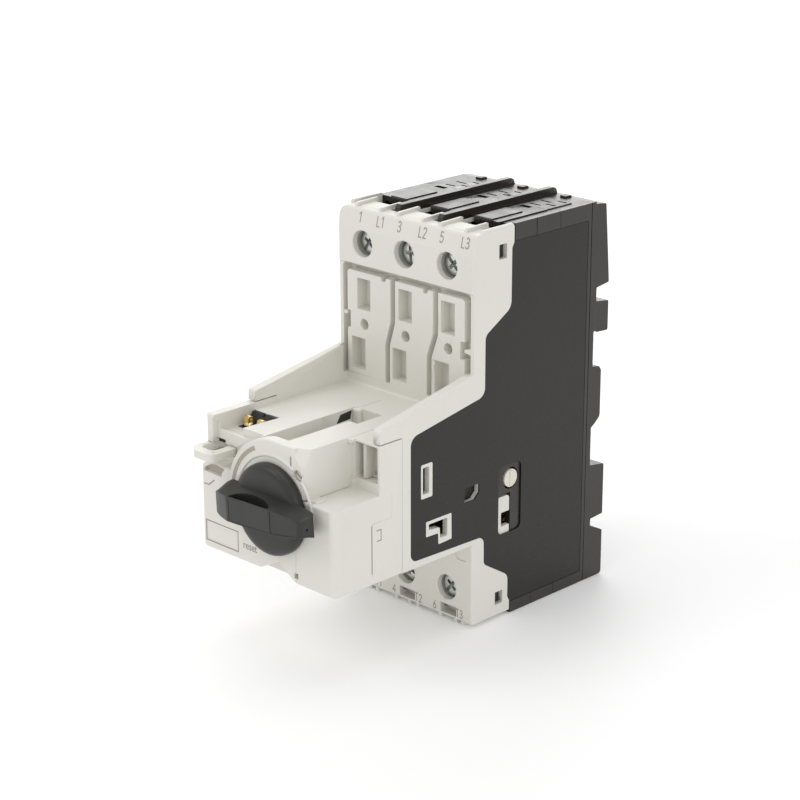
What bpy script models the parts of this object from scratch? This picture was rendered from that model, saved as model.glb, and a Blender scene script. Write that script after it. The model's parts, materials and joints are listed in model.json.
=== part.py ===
"""Motor protection breaker, 45 mm wide, three poles, for a 35 mm rail.

Everything is drawn in millimetres on a layout grid (X right, Y to the back with the rear edge at 0, Z up with the
lower edge at 0) and moved onto the mounting datum: the middle of the rail seat is the world origin.
"""

import math

import bmesh
import bpy
from mathutils import Matrix, Vector

# ---------------------------------------------------------------- driving dimensions (mm)
MM = 0.001
DATUM = (0.0, 5.4, -47.75)  # layout grid to world
HALF_W = 22.5  # half the overall width
POLES = (-14.1, 0.0, 14.1)
WALL = 1.6

Y_SPLIT = -18.7  # rear moulding / middle moulding
Y_COVER = -35.1  # middle moulding / terminal cover
Y_TERM_UP = -49.3  # upper terminal face
Y_TERM_LO = -48.85  # lower terminal face
Y_PANEL = -48.7  # recessed module panel
Y_NOSE = -72.6  # terminal cover / control housing
Y_FACE = -91.5  # control housing front
Y_PLATE = -94.5  # escutcheon front

Z_TOP = 98.5
Z_COVER_TOP = 98.4
Z_COVER_BOTTOM = 0.9
Z_FLOOR = 54.0  # floor of the module bay
Z_NOSE_BOTTOM = 22.2
Z_SHELF = 43.4  # floor of the auxiliary pocket

RAIL_FLOOR = -5.4
RAIL_LOW, RAIL_HIGH = 30.9, 65.5

KNOB_X, KNOB_Z = 2.9, 39.2
KNOB_R = 11.2
BAR_LEFT, BAR_RIGHT, BAR_HALF = -14.2, 15.5, 3.6

SCREW_UP_Z, SCREW_LO_Z = 90.0, 8.55
SCREW_HOLE_UP, SCREW_HOLE_LO = 3.3, 3.2
SCREW_HEAD_R, SCREW_SHANK_R = 2.8, 1.45
CAGE_HALF_X = 4.2

SKIN = 0.35  # thickness of the side skins
SKIN_BED = 0.45  # depth of their bed
RIB_X = 7.05
RIB_HALF = 0.8
RIB_FRONT = -44.2
KNOB_TILT = math.radians(3.0)  # the handle rests a little above level

LIGHT = (0.715, 0.71, 0.675, 1.0)
DARK = (0.05, 0.046, 0.043, 1.0)
SKIN_BLACK = (0.02, 0.019, 0.019, 1.0)
KNOB_BLACK = (0.03, 0.03, 0.03, 1.0)
ZINC = (0.62, 0.63, 0.62, 1.0)
COPPER = (0.72, 0.42, 0.25, 1.0)
GOLD = (0.78, 0.58, 0.22, 1.0)
STEEL = (0.5, 0.5, 0.5, 1.0)
NATURAL = (0.8, 0.79, 0.74, 1.0)


# ---------------------------------------------------------------- scene and materials
for old in list(bpy.data.objects):
    bpy.data.objects.remove(old, do_unlink=True)


def material(name, colour, roughness, metallic=0.0):
    mat = bpy.data.materials.get(name)
    if mat is None:
        mat = bpy.data.materials.new(name)
        mat.use_nodes = True
        shader = mat.node_tree.nodes["Principled BSDF"]
        shader.inputs["Base Color"].default_value = colour
        shader.inputs["Roughness"].default_value = roughness
        shader.inputs["Metallic"].default_value = metallic
        mat.diffuse_color = colour
    return mat


LIGHT_PLASTIC = material("light_plastic", LIGHT, 0.42)
DARK_PLASTIC = material("dark_plastic", DARK, 0.5)
SKIN_FOIL = material("black_foil", SKIN_BLACK, 0.25)
KNOB_PLASTIC = material("knob_plastic", KNOB_BLACK, 0.38)
ZINC_STEEL = material("zinc_steel", ZINC, 0.3, 1.0)
COPPER_BAR = material("copper_bar", COPPER, 0.3, 1.0)
GOLD_PIN = material("gold_pin", GOLD, 0.25, 1.0)
BARE_STEEL = material("bare_steel", STEEL, 0.4, 1.0)
NATURAL_PLASTIC = material("natural_plastic", NATURAL, 0.5)


# ---------------------------------------------------------------- shape makers, all in layout millimetres
def place(axis, a, b, t):
    """A point from its two in-plane values and its distance along the axis."""
    return {"X": (t, a, b), "Y": (a, t, b), "Z": (a, b, t)}[axis]


def loft(axis, first, lo, second, hi):
    """A solid between two outlines of the same number of points."""
    n = len(first)
    verts = [place(axis, a, b, lo) for a, b in first] + [place(axis, a, b, hi) for a, b in second]
    faces = [tuple(range(n)), tuple(range(n, 2 * n))]
    faces += [(i, (i + 1) % n, n + (i + 1) % n, n + i) for i in range(n)]
    return verts, faces


def prism(axis, outline, lo, hi):
    return loft(axis, outline, lo, outline, hi)


def box(x0, x1, y0, y1, z0, z1):
    return prism("Z", [(x0, y0), (x1, y0), (x1, y1), (x0, y1)], z0, z1)


def ring_points(a, b, r, n, start=0.0):
    return [
        (a + r * math.cos(start + 2 * math.pi * i / n), b + r * math.sin(start + 2 * math.pi * i / n))
        for i in range(n)
    ]


def cyl(axis, a, b, r, lo, hi, n=24):
    return prism(axis, ring_points(a, b, r, n, math.pi / n), lo, hi)


def cone(axis, a, b, r0, lo, r1, hi, n=24):
    return loft(axis, ring_points(a, b, r0, n), lo, ring_points(a, b, r1, n), hi)


def rounded(a0, a1, b0, b1, r, n=4):
    """A rectangle with round corners; r may be one radius or four, from the low corner round."""
    radii = r if isinstance(r, tuple) else (r, r, r, r)
    corners = ((a0, b0, 180), (a1, b0, 270), (a1, b1, 0), (a0, b1, 90))
    points = []
    for (a, b, start), radius in zip(corners, radii):
        if radius <= 0:
            points.append((a, b))
            continue
        ca = a + radius if a == a0 else a - radius
        cb = b + radius if b == b0 else b - radius
        for i in range(n + 1):
            angle = math.radians(start + 90 * i / n)
            points.append((ca + radius * math.cos(angle), cb + radius * math.sin(angle)))
    return points


def helix(axis, a, b, lo, hi, radius, wire, turns, steps, sides, flat=0):
    """A round wire wound about an axis, its ends capped. flat adds closed end turns."""
    total = turns * steps
    verts, faces = [], []
    for i in range(total + 1):
        t = i / total
        if flat:
            edge = flat / turns
            rise = 0.0 if t <= edge else 1.0 if t >= 1 - edge else (t - edge) / (1 - 2 * edge)
            low, high = lo + wire, hi - wire
            extra = 2.1 * wire * flat
            if t < edge:
                along = low + extra * t / edge
            elif t > 1 - edge:
                along = high - extra * (1 - t) / edge
            else:
                along = low + extra + (high - low - 2 * extra) * rise
        else:
            along = lo + wire + (hi - lo - 2 * wire) * t
        angle = 2 * math.pi * turns * t
        for k in range(sides):
            phi = 2 * math.pi * k / sides
            r = radius + wire * math.cos(phi)
            verts.append(
                place(axis, a + r * math.cos(angle), b + r * math.sin(angle), along + wire * math.sin(phi))
            )
    for i in range(total):
        for k in range(sides):
            p, q = i * sides + k, i * sides + (k + 1) % sides
            faces.append((p, q, q + sides, p + sides))
    faces.append(tuple(range(sides)))
    faces.append(tuple(range(total * sides, total * sides + sides)))
    return verts, faces


def loose(shape):
    """An object for one shape, not rendered, its faces turned outwards."""
    verts, faces = shape
    mesh = bpy.data.meshes.new("shape")
    mesh.from_pydata(
        [((x + DATUM[0]) * MM, (y + DATUM[1]) * MM, (z + DATUM[2]) * MM) for x, y, z in verts], [], faces
    )
    bm = bmesh.new()
    bm.from_mesh(mesh)
    bmesh.ops.recalc_face_normals(bm, faces=bm.faces)
    bm.to_mesh(mesh)
    bm.free()
    obj = bpy.data.objects.new("shape", mesh)
    bpy.context.scene.collection.objects.link(obj)
    obj.hide_render = True
    obj.display_type = "WIRE"
    return obj


def boolean(obj, others, operation):
    group = bpy.data.collections.new("group")
    bpy.context.scene.collection.children.link(group)
    for other in others:
        bpy.context.scene.collection.objects.unlink(other)
        group.objects.link(other)
    step = obj.modifiers.new(operation.lower(), "BOOLEAN")
    step.operation = operation
    step.solver = "EXACT"
    step.operand_type = "COLLECTION"
    step.collection = group
    return group


def solid(name, adds, cuts, mat, pivot=None):
    """One closed body: the union of adds less the cuts, with its origin at the pivot."""
    base = loose(adds[0])
    groups = []
    if len(adds) > 1:
        groups.append(boolean(base, [loose(s) for s in adds[1:]], "UNION"))
    if cuts:
        groups.append(boolean(base, [loose(s) for s in cuts], "DIFFERENCE"))
    bpy.context.view_layer.update()
    graph = bpy.context.evaluated_depsgraph_get()
    mesh = bpy.data.meshes.new_from_object(base.evaluated_get(graph))
    for group in groups:
        for obj in list(group.objects):
            bpy.data.objects.remove(obj, do_unlink=True)
        bpy.data.collections.remove(group)
    bpy.data.objects.remove(base, do_unlink=True)
    centre = Vector((0.0, 0.0, 0.0))
    if pivot is not None:
        centre = Vector([(p + d) * MM for p, d in zip(pivot, DATUM)])
        mesh.transform(Matrix.Translation(-centre))
    mesh.name = name
    mesh.materials.clear()
    mesh.materials.append(mat)
    obj = bpy.data.objects.new(name, mesh)
    obj.location = centre
    bpy.context.scene.collection.objects.link(obj)
    return obj


# ---------------------------------------------------------------- outlines
def skirt_edge():
    """The front edge of the side skin, from top to bottom, as (y, z)."""
    return [
        (-34.9, 94.8), (-35.7, 93.5), (-35.8, 80.6), (-36.6, 78.4), (-41.6, 75.3), (-44.0, 74.1), (-44.7, 72.8),
        (-44.7, 61.7), (-44.9, 59.9), (-46.5, 58.6), (-66.8, 55.1), (-68.9, 54.4), (-69.7, 52.6), (-69.7, 25.8),
        (-69.2, 24.4), (-68.0, 23.8), (-46.0, 23.3), (-44.8, 22.3), (-44.5, 16.6), (-43.8, 15.4), (-36.8, 11.1),
        (-35.8, 9.4), (-35.8, 4.7), (-34.9, 3.0),
    ]


def grown(points, by):
    """The outline moved outwards by a distance; points run either way round."""
    area = sum(
        points[i][0] * points[(i + 1) % len(points)][1] - points[(i + 1) % len(points)][0] * points[i][1]
        for i in range(len(points))
    )
    sign = 1 if area > 0 else -1
    out = []
    for i, (a, b) in enumerate(points):
        pa, pb = points[i - 1]
        na, nb = points[(i + 1) % len(points)]
        u = Vector((a - pa, b - pb)).normalized()
        v = Vector((na - a, nb - b)).normalized()
        n1 = Vector((u.y, -u.x)) * sign
        n2 = Vector((v.y, -v.x)) * sign
        m = (n1 + n2).normalized()
        scale = by / max(0.35, m.dot(n1))
        out.append((a + m.x * scale, b + m.y * scale))
    return out


def skin_outline():
    return [(-8.4, 94.8)] + skirt_edge() + [(-8.4, 3.0)]


SKIN_WINDOWS = {
    "slot": [(-66.4, 38.5), (-62.4, 38.5), (-62.4, 47.2), (-66.4, 47.2)],
    "pocket": [(-52.8, 32.6), (-47.4, 32.6), (-46.0, 34.0), (-46.0, 37.7), (-52.8, 37.7)],
    "angle": [(-64.7, 28.6), (-60.6, 28.5), (-60.5, 25.6), (-55.8, 25.8), (-55.9, 32.6), (-64.7, 32.6)],
    "cutout": rounded(-39.5, -31.3, 21.5, 39.5, 1.2, 2),
}
BODY_WINDOWS = {
    "slot": [(-65.7, 39.7), (-63.6, 39.7), (-63.6, 46.3), (-65.7, 46.3)],
    "pocket": [(-51.8, 33.8), (-48.7, 33.8), (-48.7, 36.9), (-51.8, 36.9)],
    "angle": [(-63.7, 30.3), (-60.0, 29.9), (-59.8, 27.2), (-57.4, 27.2), (-57.4, 31.7), (-63.7, 31.7)],
}


def skin_beds():
    """The shallow beds for the two side skins."""
    outline = grown(skin_outline(), 0.12)
    return [prism("X", outline, s * (HALF_W - SKIN_BED), s * (HALF_W + 1)) for s in (-1, 1)]


# ---------------------------------------------------------------- rear moulding
def rear_base():
    back = [
        (Y_SPLIT + 0.1, 0.0), (0.0, 0.0), (0.0, 12.0), (-4.7, 14.3), (-4.7, 16.2), (0.0, 16.5), (0.0, RAIL_LOW - 0.8),
        (RAIL_FLOOR, RAIL_LOW), (RAIL_FLOOR, 66.5), (-4.2, 65.8), (0.0, RAIL_HIGH), (0.0, 73.2), (-4.7, 73.8),
        (-4.7, 77.3), (0.0, 77.9), (-1.8, 98.1), (-4.8, Z_TOP), (Y_SPLIT + 0.1, Z_TOP),
    ]
    boss = [(-6.0, 41.0), (-5.3, 41.0), (-4.0, 41.8), (-2.3, 43.2), (-2.1, 44.0), (-2.1, 55.5), (-2.8, 56.6), (-6.0, 57.2)]
    adds = [prism("X", back, -HALF_W, HALF_W)]
    adds += [prism("X", boss, 12.5 * s, HALF_W * s) for s in (-1, 1)]
    adds += [box(s * RIB_X - RIB_HALF, s * RIB_X + RIB_HALF, Y_SPLIT + 0.1, -3.6, 98.0, 100.1) for s in (-1, 1)]
    adds += [box(min(s * 21.3, s * HALF_W), max(s * 21.3, s * HALF_W), Y_SPLIT + 0.1, -5.5, 98.0, 99.1) for s in (-1, 1)]
    cuts = skin_beds()
    cuts.append(box(-20.6, 20.6, Y_SPLIT - 1, -7.6, 1.8, 96.8))
    for c in POLES:
        cuts += [box(c - 3.2, c + 0.1, y - 0.35, y + 0.35, 95.0, 101.0) for y in (-12.8, -16.8)]
        cuts += [box(c + 0.3, c + 3.2, y - 0.35, y + 0.35, 95.0, 101.0) for y in (-10.6, -14.8)]
    # latch bed, its tail and the spring's well
    cuts.append(box(-9.3, 9.3, -4.5, 1.0, 8.1, 36.0))
    cuts.append(box(3.9, 9.3, -4.5, 1.0, -1.0, 12.0))
    cuts.append(box(-2.4, 2.4, -4.5, 1.0, 4.6, 12.0))
    return solid("rear_base", adds, cuts, DARK_PLASTIC)


# ---------------------------------------------------------------- middle moulding with the phase chambers
def arc_housing():
    y0, y1 = Y_COVER + 0.2, Y_SPLIT - 0.1
    adds = [box(-HALF_W, HALF_W, y0, y1, 0.0, 98.8)]
    adds += [box(s * RIB_X - RIB_HALF, s * RIB_X + RIB_HALF, RIB_FRONT, y1, 96.6, 100.1) for s in (-1, 1)]
    adds += [box(c - 4.2, c + 4.2, -36.0, y0 + 1, 97.3, 98.8) for c in POLES]
    adds += [box(min(s * 21.3, s * HALF_W), max(s * 21.3, s * HALF_W), y0, y1, 98.0, 99.1) for s in (-1, 1)]
    adds.append(box(20.95, 22.05, -39.5, y0 + 1, 31.8, 39.4))
    cuts = skin_beds()
    for c in POLES:
        half = 6.2 if c == 0 else 6.3
        cuts.append(box(c - half, c + half, y0 - 0.5, y1 + 0.5, 1.7, 97.2))
        cuts.append(box(c - 3.2, c, -20.8, -19.2, 96.0, 100.0))
    cuts.append(cyl("X", -34.9, 35.5, 2.6, 19.0, 23.0, 16))
    return solid("arc_housing", adds, cuts, DARK_PLASTIC)


# ---------------------------------------------------------------- terminal cover with the module panel
def front_cover():
    profile = [
        (Y_COVER - 0.1, Z_COVER_BOTTOM), (Y_TERM_LO, Z_COVER_BOTTOM), (Y_TERM_LO, 22.0), (Y_NOSE + 0.1, 22.0),
        (Y_NOSE + 0.1, Z_FLOOR), (Y_PANEL, Z_FLOOR), (Y_PANEL, 84.0), (Y_TERM_UP, 84.7), (Y_TERM_UP, 93.5),
        (-48.1, Z_COVER_TOP), (Y_COVER - 0.1, Z_COVER_TOP),
    ]
    right_wall = [(-48.0, 53.0), (-48.0, 65.0), (-50.0, 64.8), (-79.8, 59.0), (-79.8, 55.6), (Y_NOSE + 0.1, 55.6), (Y_NOSE + 0.1, 53.0)]
    left_wall = [(-48.0, 53.0), (-48.0, 63.6), (-49.0, 63.4), (-79.4, 58.4), (-79.4, 55.9), (Y_NOSE + 0.1, 55.9), (Y_NOSE + 0.1, 53.0)]
    adds = [
        prism("X", profile, -HALF_W, HALF_W),
        prism("X", right_wall, 20.5, HALF_W),
        prism("X", left_wall, -HALF_W, -20.1),
    ]
    for x in (-17.9, -12.9, -10.3, -3.5, 1.1, 3.9, 11.7, 17.0, 19.3):
        adds.append(box(x - 0.5, x + 0.5, -48.5, -43.5, -0.1, 1.6))
    for c in POLES:
        adds.append(box(c + 3.7, c + 4.35, -47.6, -39.8, 96.9, 99.4))
        adds.append(box(c - 4.4, c - 3.7, -47.6, -39.8, 96.9, 99.4))
    for s in (-1, 1):
        x0, x1 = sorted((s * 21.3, s * HALF_W))
        adds.append(box(x0, x1, -46.0, Y_COVER - 0.1, 97.0, 99.1))
    cuts = skin_beds()
    # hollow, open to the back
    cuts += [
        box(-20.9, 20.9, -47.2, Y_COVER + 1, 2.5, 24.0),
        box(-20.9, 20.9, -70.9, Y_COVER + 1, 23.6, 52.4),
        box(-20.9, 20.9, -44.6, Y_COVER + 1, 24.0, 86.0),
        box(-20.9, 20.9, -47.7, Y_COVER + 1, 85.9, 97.3),
    ]
    for c in POLES:
        cuts.append(cyl("Y", c, SCREW_UP_Z, SCREW_HOLE_UP, -50.0, -46.0, 20))
        cuts.append(cyl("Y", c, SCREW_LO_Z, SCREW_HOLE_LO, -50.0, -46.0, 20))
        cuts.append(box(c - 2.0, c + 3.4, -50.0, -46.0, 1.6, 4.1))
        cuts.append(box(c - 3.7, c + 3.7, -41.2, Y_COVER + 1, 96.0, 102.0))
        cuts.append(box(c - 4.6, c + 4.6, -39.8, Y_COVER + 1, 96.0, 102.0))
        cuts.append(box(c - 4.3, c + 4.3, -41.6, Y_COVER + 1, -2.0, 3.5))
    for s in (-1, 1):
        cuts.append(box(s * RIB_X - 2.4, s * RIB_X + 2.4, -44.4, Y_COVER + 1, 96.3, 102.0))
        x0, x1 = sorted((s * 18.7, s * 21.25))
        cuts.append(box(x0, x1, -42.5, Y_COVER + 1, 96.3, 102.0))
        x0, x1 = sorted((s * 20.0, s * 24.0))
        cuts.append(box(x0, x1, -40.4, -37.7, 91.3, 94.9))
        cuts.append(box(x0, x1, -40.4, -37.7, 3.6, 7.0))
        cuts += [prism("X", outline, x0, x1) for outline in BODY_WINDOWS.values()]
    cuts.append(box(20.0, 24.0, -39.8, Y_COVER + 1, 31.5, 39.7))
    # grooves round the three panel plates
    front, deep = Y_PANEL - 1.5, Y_PANEL + 2.8
    cuts.append(box(-21.5, 21.4, front, deep, 82.7, 84.6))
    cuts.append(box(-21.5, -19.9, front, deep, 56.4, 84.0))
    cuts.append(box(19.4, 21.4, front, deep, 64.5, 84.0))
    for upper0, upper1, lower0, lower1 in ((-5.1, -3.5, -6.9, -5.3), (9.1, 10.8, 7.1, 8.7)):
        groove = [
            (lower0, 56.4), (lower1, 56.4), (lower1, 66.2), (upper1, 72.2), (upper1, 83.5), (upper0, 83.5),
            (upper0, 72.2), (lower0, 66.2),
        ]
        cuts.append(prism("Y", groove, front, deep))
    cuts.append(box(18.0, 20.0, front, deep, 67.9, 72.4))
    cuts.append(box(-20.5, -18.9, front, deep, 67.9, 72.4))
    for c, dx in zip(POLES, (0.0, 0.0, 0.0)):
        cuts.append(box(c - 2.4, c + 2.1, front, Y_PANEL + 3.2, 73.2, 81.1))
        cuts.append(box(c - 4.4, c + 0.3, front, Y_PANEL + 3.2, 57.8, 65.9))
        cuts.append(cyl("Y", c, 69.6, 1.4, front, Y_PANEL + 2.5, 14))
    for x in (-7.5, 6.5):
        cuts.append(cyl("Y", x, 82.4, 0.85, front, deep, 12))
    # plug channel in the bay floor, and the hole for the handle shaft
    cuts.append(box(-4.2, 5.0, -74.0, -62.4, 49.0, 58.0))
    cuts.append(cyl("Y", KNOB_X, KNOB_Z, 3.4, -74.0, -70.0, 16))
    cover = solid("front_cover", adds, cuts, LIGHT_PLASTIC)
    return cover


# ---------------------------------------------------------------- side skins
def side_skin(name, s):
    windows = [prism("X", outline, s * 20.0, s * 24.0) for outline in SKIN_WINDOWS.values()]
    x0, x1 = sorted((s * (HALF_W - 0.05 - SKIN), s * (HALF_W - 0.05)))
    return solid(name, [prism("X", skin_outline(), x0, x1)], windows, SKIN_FOIL)


# ---------------------------------------------------------------- control housing (the nose)
def control_housing():
    adds = [
        box(-HALF_W, HALF_W, Y_FACE, Y_NOSE, Z_NOSE_BOTTOM, Z_SHELF),
        box(-HALF_W, 13.2, Y_FACE, Y_NOSE, 43.0, Z_FLOOR),
        box(5.0, 13.2, Y_FACE, Y_NOSE, 53.0, 55.4),
        box(13.0, HALF_W, -79.9, Y_NOSE, 43.0, 55.3),
        box(-HALF_W, -20.0, -92.0, Y_NOSE, 44.8, 55.6),
    ]
    cuts = [
        box(-20.9, 20.9, -89.9, Y_NOSE + 1, 23.8, 41.9),  # hollow, open to the back
        box(-4.2, 5.0, -93.0, Y_NOSE + 1, 49.0, 58.0),  # plug channel
        box(-19.9, -11.2, -90.5, -79.6, 49.8, 58.0),  # socket well
        prism("Y", [(-19.9, 52.0), (-8.9, 52.0), (-4.2, 54.1), (-4.2, 58.0), (-19.9, 58.0)], -93.0, -90.4),
        box(-22.15, -13.3, -93.0, -77.6, 46.3, 48.6),  # guide of the locking tongue
        box(14.6, 21.9, -81.0, -74.4, 46.0, 54.8),  # auxiliary recess
        cyl("Y", KNOB_X, KNOB_Z, 3.4, -93.0, -88.0, 16),
        cyl("Y", 10.9, 49.1, 1.5, -93.0, -86.8, 12),
        box(-20.9, 3.5, -89.9, Y_NOSE + 1, 41.0, 44.6),
    ]
    return solid("control_housing", adds, cuts, LIGHT_PLASTIC)


def control_plate():
    """Escutcheon with a round boss behind the knob and a raised label frame."""
    arc = []
    radius = 17.4
    for degrees in range(162, 108, -6):
        t = math.radians(degrees)
        arc.append((KNOB_X + radius * math.cos(t), KNOB_Z + radius * math.sin(t)))
    outline = [
        (-22.5, 22.6), (-2.5, 22.7), (4.0, 25.8), (8.8, 22.9), (9.7, 22.9), (9.7, 43.6), (13.2, 43.6), (13.2, 50.4),
        (8.3, 55.4), (5.2, 55.4),
    ]
    outline += [(-2.4, 55.6)] + arc[::-1] + [(-20.9, 44.5), (-22.5, 43.6)]
    adds = [prism("Y", outline, Y_PLATE, Y_FACE - 0.1)]
    cuts = [
        prism("Y", [(-21.9, 42.0), (-15.5, 41.8), (-15.5, 42.7), (-14.4, 44.0), (-17.5, 44.35), (-19.5, 44.0), (-21.5, 43.0)], Y_PLATE - 1, Y_PLATE + 0.8),
        box(-21.4, -10.4, Y_PLATE - 1, Y_PLATE + 0.25, 24.6, 29.3),
        cyl("Y", KNOB_X, KNOB_Z, 3.4, -96.0, -90.0, 16),
        cyl("Y", 10.9, 49.1, 1.5, -96.0, -90.0, 12),
    ]
    return solid("control_plate", adds, cuts, LIGHT_PLASTIC)


def right_block():
    adds = [box(9.9, HALF_W, Y_PLATE, Y_FACE - 0.1, Z_NOSE_BOTTOM, Z_SHELF)]
    cuts = [box(9.0, 10.6, Y_PLATE - 1, Y_PLATE + 1.2, 23.6, 25.0)]
    return solid("right_block", adds, cuts, LIGHT_PLASTIC)


def aux_window():
    adds = [box(14.75, 21.75, -76.2, -74.6, 46.15, 54.65), box(16.6, 18.0, -79.0, -75.5, 46.15, 54.65)]
    return solid("aux_window", adds, [], LIGHT_PLASTIC)


def dial_ring():
    outer = cone("Y", KNOB_X, KNOB_Z, 13.5, Y_PLATE - 0.1, 12.9, Y_PLATE - 1.0, 40)
    cuts = [cyl("Y", KNOB_X, KNOB_Z, 11.6, -97.0, -93.0, 40), cyl("Y", 10.9, 49.1, 2.0, -97.0, -93.0, 16)]
    return solid("dial_ring", [outer], cuts, LIGHT_PLASTIC)


# ---------------------------------------------------------------- handle
def bar_outline(left, right, half):
    """The grip bar's plan, turned with the handle to its resting angle."""
    points = [
        (KNOB_X + left, KNOB_Z - half * 0.86), (KNOB_X + left + 1.2, KNOB_Z - half),
        (KNOB_X + right - 4.6, KNOB_Z - half), (KNOB_X + right, KNOB_Z - half * 0.52),
        (KNOB_X + right, KNOB_Z + half * 0.52), (KNOB_X + right - 4.6, KNOB_Z + half),
        (KNOB_X + left + 1.2, KNOB_Z + half), (KNOB_X + left, KNOB_Z + half * 0.86),
    ]
    c, s = math.cos(KNOB_TILT), math.sin(KNOB_TILT)
    return [
        (KNOB_X + (a - KNOB_X) * c - (b - KNOB_Z) * s, KNOB_Z + (a - KNOB_X) * s + (b - KNOB_Z) * c) for a, b in points
    ]


def knob():
    pivot = (KNOB_X, Y_PLATE, KNOB_Z)
    adds = [
        cone("Y", KNOB_X, KNOB_Z, 11.0, -94.7, KNOB_R, -95.9, 40),
        cone("Y", KNOB_X, KNOB_Z, KNOB_R, -95.85, 9.6, -97.4, 40),
        loft("Y", bar_outline(BAR_LEFT, BAR_RIGHT, BAR_HALF + 0.5), -96.8, bar_outline(BAR_LEFT + 0.4, BAR_RIGHT - 0.5, BAR_HALF - 0.5), -102.1),
    ]
    scoop = cyl("Y", KNOB_X - 7.4, KNOB_Z - 1.6, 6.6, -103.0, -101.3, 28)
    cuts = [scoop, cyl("Y", KNOB_X, KNOB_Z, 2.6, -95.6, -94.0, 16)]
    return solid("knob", adds, cuts, KNOB_PLASTIC, pivot)


def handle_shaft():
    return solid("handle_shaft", [cyl("Y", KNOB_X, KNOB_Z, 2.4, -95.4, -54.0, 16)], [], BARE_STEEL, (KNOB_X, Y_PLATE, KNOB_Z))


def latch_cam():
    outline = ring_points(KNOB_X, KNOB_Z, 5.2, 20)
    lobe = prism("Y", [(KNOB_X - 8.6, KNOB_Z - 1.4), (KNOB_X, KNOB_Z - 2.6), (KNOB_X, KNOB_Z + 2.6), (KNOB_X - 8.6, KNOB_Z + 1.4)], -61.0, -57.0)
    adds = [prism("Y", outline, -61.0, -57.0), lobe]
    return solid("latch_cam", adds, [cyl("Y", KNOB_X, KNOB_Z, 2.5, -62.0, -56.0, 16)], NATURAL_PLASTIC, (KNOB_X, -59.0, KNOB_Z))


# ---------------------------------------------------------------- small controls on the front
def lock_tab():
    outline = rounded(-22.0, -13.5, -99.0, -84.0, (5.0, 1.2, 0.0, 0.0), 6)
    cuts = [prism("Z", rounded(-20.6, -16.0, -96.3, -91.2, 1.3, 3), 40.0, 50.0), cyl("Z", -15.0, -97.0, 0.5, 48.0, 50.0, 10)]
    return solid("lock_tab", [prism("Z", outline, 46.45, 48.4)], cuts, LIGHT_PLASTIC)


def test_button():
    adds = [cyl("Y", 10.9, 49.1, 1.3, -94.8, -88.4, 16)]
    slot = [(10.9 - 1.2, 49.1 - 0.55), (10.9 - 0.9, 49.1 - 0.9), (10.9 + 1.2, 49.1 + 0.55), (10.9 + 0.9, 49.1 + 0.9)]
    return solid("test_button", adds, [prism("Y", slot, -96.0, -94.2)], LIGHT_PLASTIC)


def connector_socket():
    adds = [box(-19.6, -11.5, -86.4, -79.9, 50.0, 51.2), box(-19.6, -11.5, -81.4, -79.9, 51.0, 53.6)]
    cuts = [cyl("Z", x, -83.6, 0.75, 49.0, 53.0, 10) for x in (-17.8, -13.2)]
    return solid("connector_socket", adds, cuts, KNOB_PLASTIC)


def contact_pin(name, x):
    adds = [cyl("Z", x, -83.6, 0.6, 50.1, 53.5, 10), cone("Z", x, -83.6, 1.3, 51.6, 0.9, 52.8, 12)]
    return solid(name, adds, [], GOLD_PIN)


# ---------------------------------------------------------------- terminals
def terminal_screw(name, x, z, turn):
    adds = [cyl("Y", x, z, SCREW_HEAD_R, -46.8, -44.6, 20), cyl("Y", x, z, SCREW_SHANK_R, -44.8, -40.3, 12)]
    c, s = math.cos(turn), math.sin(turn)

    def turned(u, v):
        return (x + u * c - v * s, z + u * s + v * c)

    slot = [turned(-4, -0.45), turned(4, -0.45), turned(4, 0.45), turned(-4, 0.45)]
    cross = [turned(-0.45, -1.9), turned(0.45, -1.9), turned(0.45, 1.9), turned(-0.45, 1.9)]
    cuts = [prism("Y", slot, -48.0, -45.6), prism("Y", cross, -48.0, -45.6)]
    return solid(name, adds, cuts, ZINC_STEEL, (x, -45.0, z))


def clamp(name, x, z):
    outer = rounded(x - CAGE_HALF_X, x + CAGE_HALF_X, -42.4, -33.4, 1.0, 2)
    inner = rounded(x - CAGE_HALF_X + 1.05, x + CAGE_HALF_X - 1.05, -41.3, -34.5, 0.4, 2)
    cuts = [prism("Z", inner, z - 6, z + 6), cyl("Y", x, z, SCREW_SHANK_R + 0.12, -44.0, -41.0, 12)]
    return solid(name, [prism("Z", outer, z - 3.8, z + 3.8)], cuts, ZINC_STEEL)


def line_bar(name, x):
    outline = [(-39.9, 94.4), (-39.9, 62.2), (-26.2, 62.2), (-26.2, 64.6), (-27.4, 64.6), (-27.4, 63.4), (-38.7, 63.4), (-38.7, 94.4)]
    return solid(name, [prism("X", outline, x - 2.6, x + 2.6)], [], COPPER_BAR)


def load_bar(name, x):
    outline = [(-39.9, 4.1), (-38.7, 4.1), (-38.7, 38.0), (-27.4, 38.0), (-27.4, 36.8), (-26.2, 36.8), (-26.2, 39.2), (-39.9, 39.2)]
    return solid(name, [prism("X", outline, x - 2.6, x + 2.6)], [], COPPER_BAR)


def contact_bridge(name, x):
    outline = [(-22.9, 35.8), (-21.8, 35.8), (-21.8, 65.6), (-22.9, 65.6), (-22.9, 63.9), (-23.2, 63.6), (-23.2, 61.6), (-22.9, 61.3), (-22.9, 40.1), (-23.2, 39.8), (-23.2, 37.8), (-22.9, 37.5)]
    return solid(name, [prism("X", outline, x - 2.1, x + 2.1)], [], COPPER_BAR)


def contact_carrier():
    adds = [box(-19.0, 19.0, -15.4, -11.4, 46.6, 54.8)]
    adds += [box(x - 2.8, x + 2.8, -21.6, -15.0, 48.2, 53.2) for x in POLES]
    return solid("contact_carrier", adds, [], NATURAL_PLASTIC)


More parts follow.
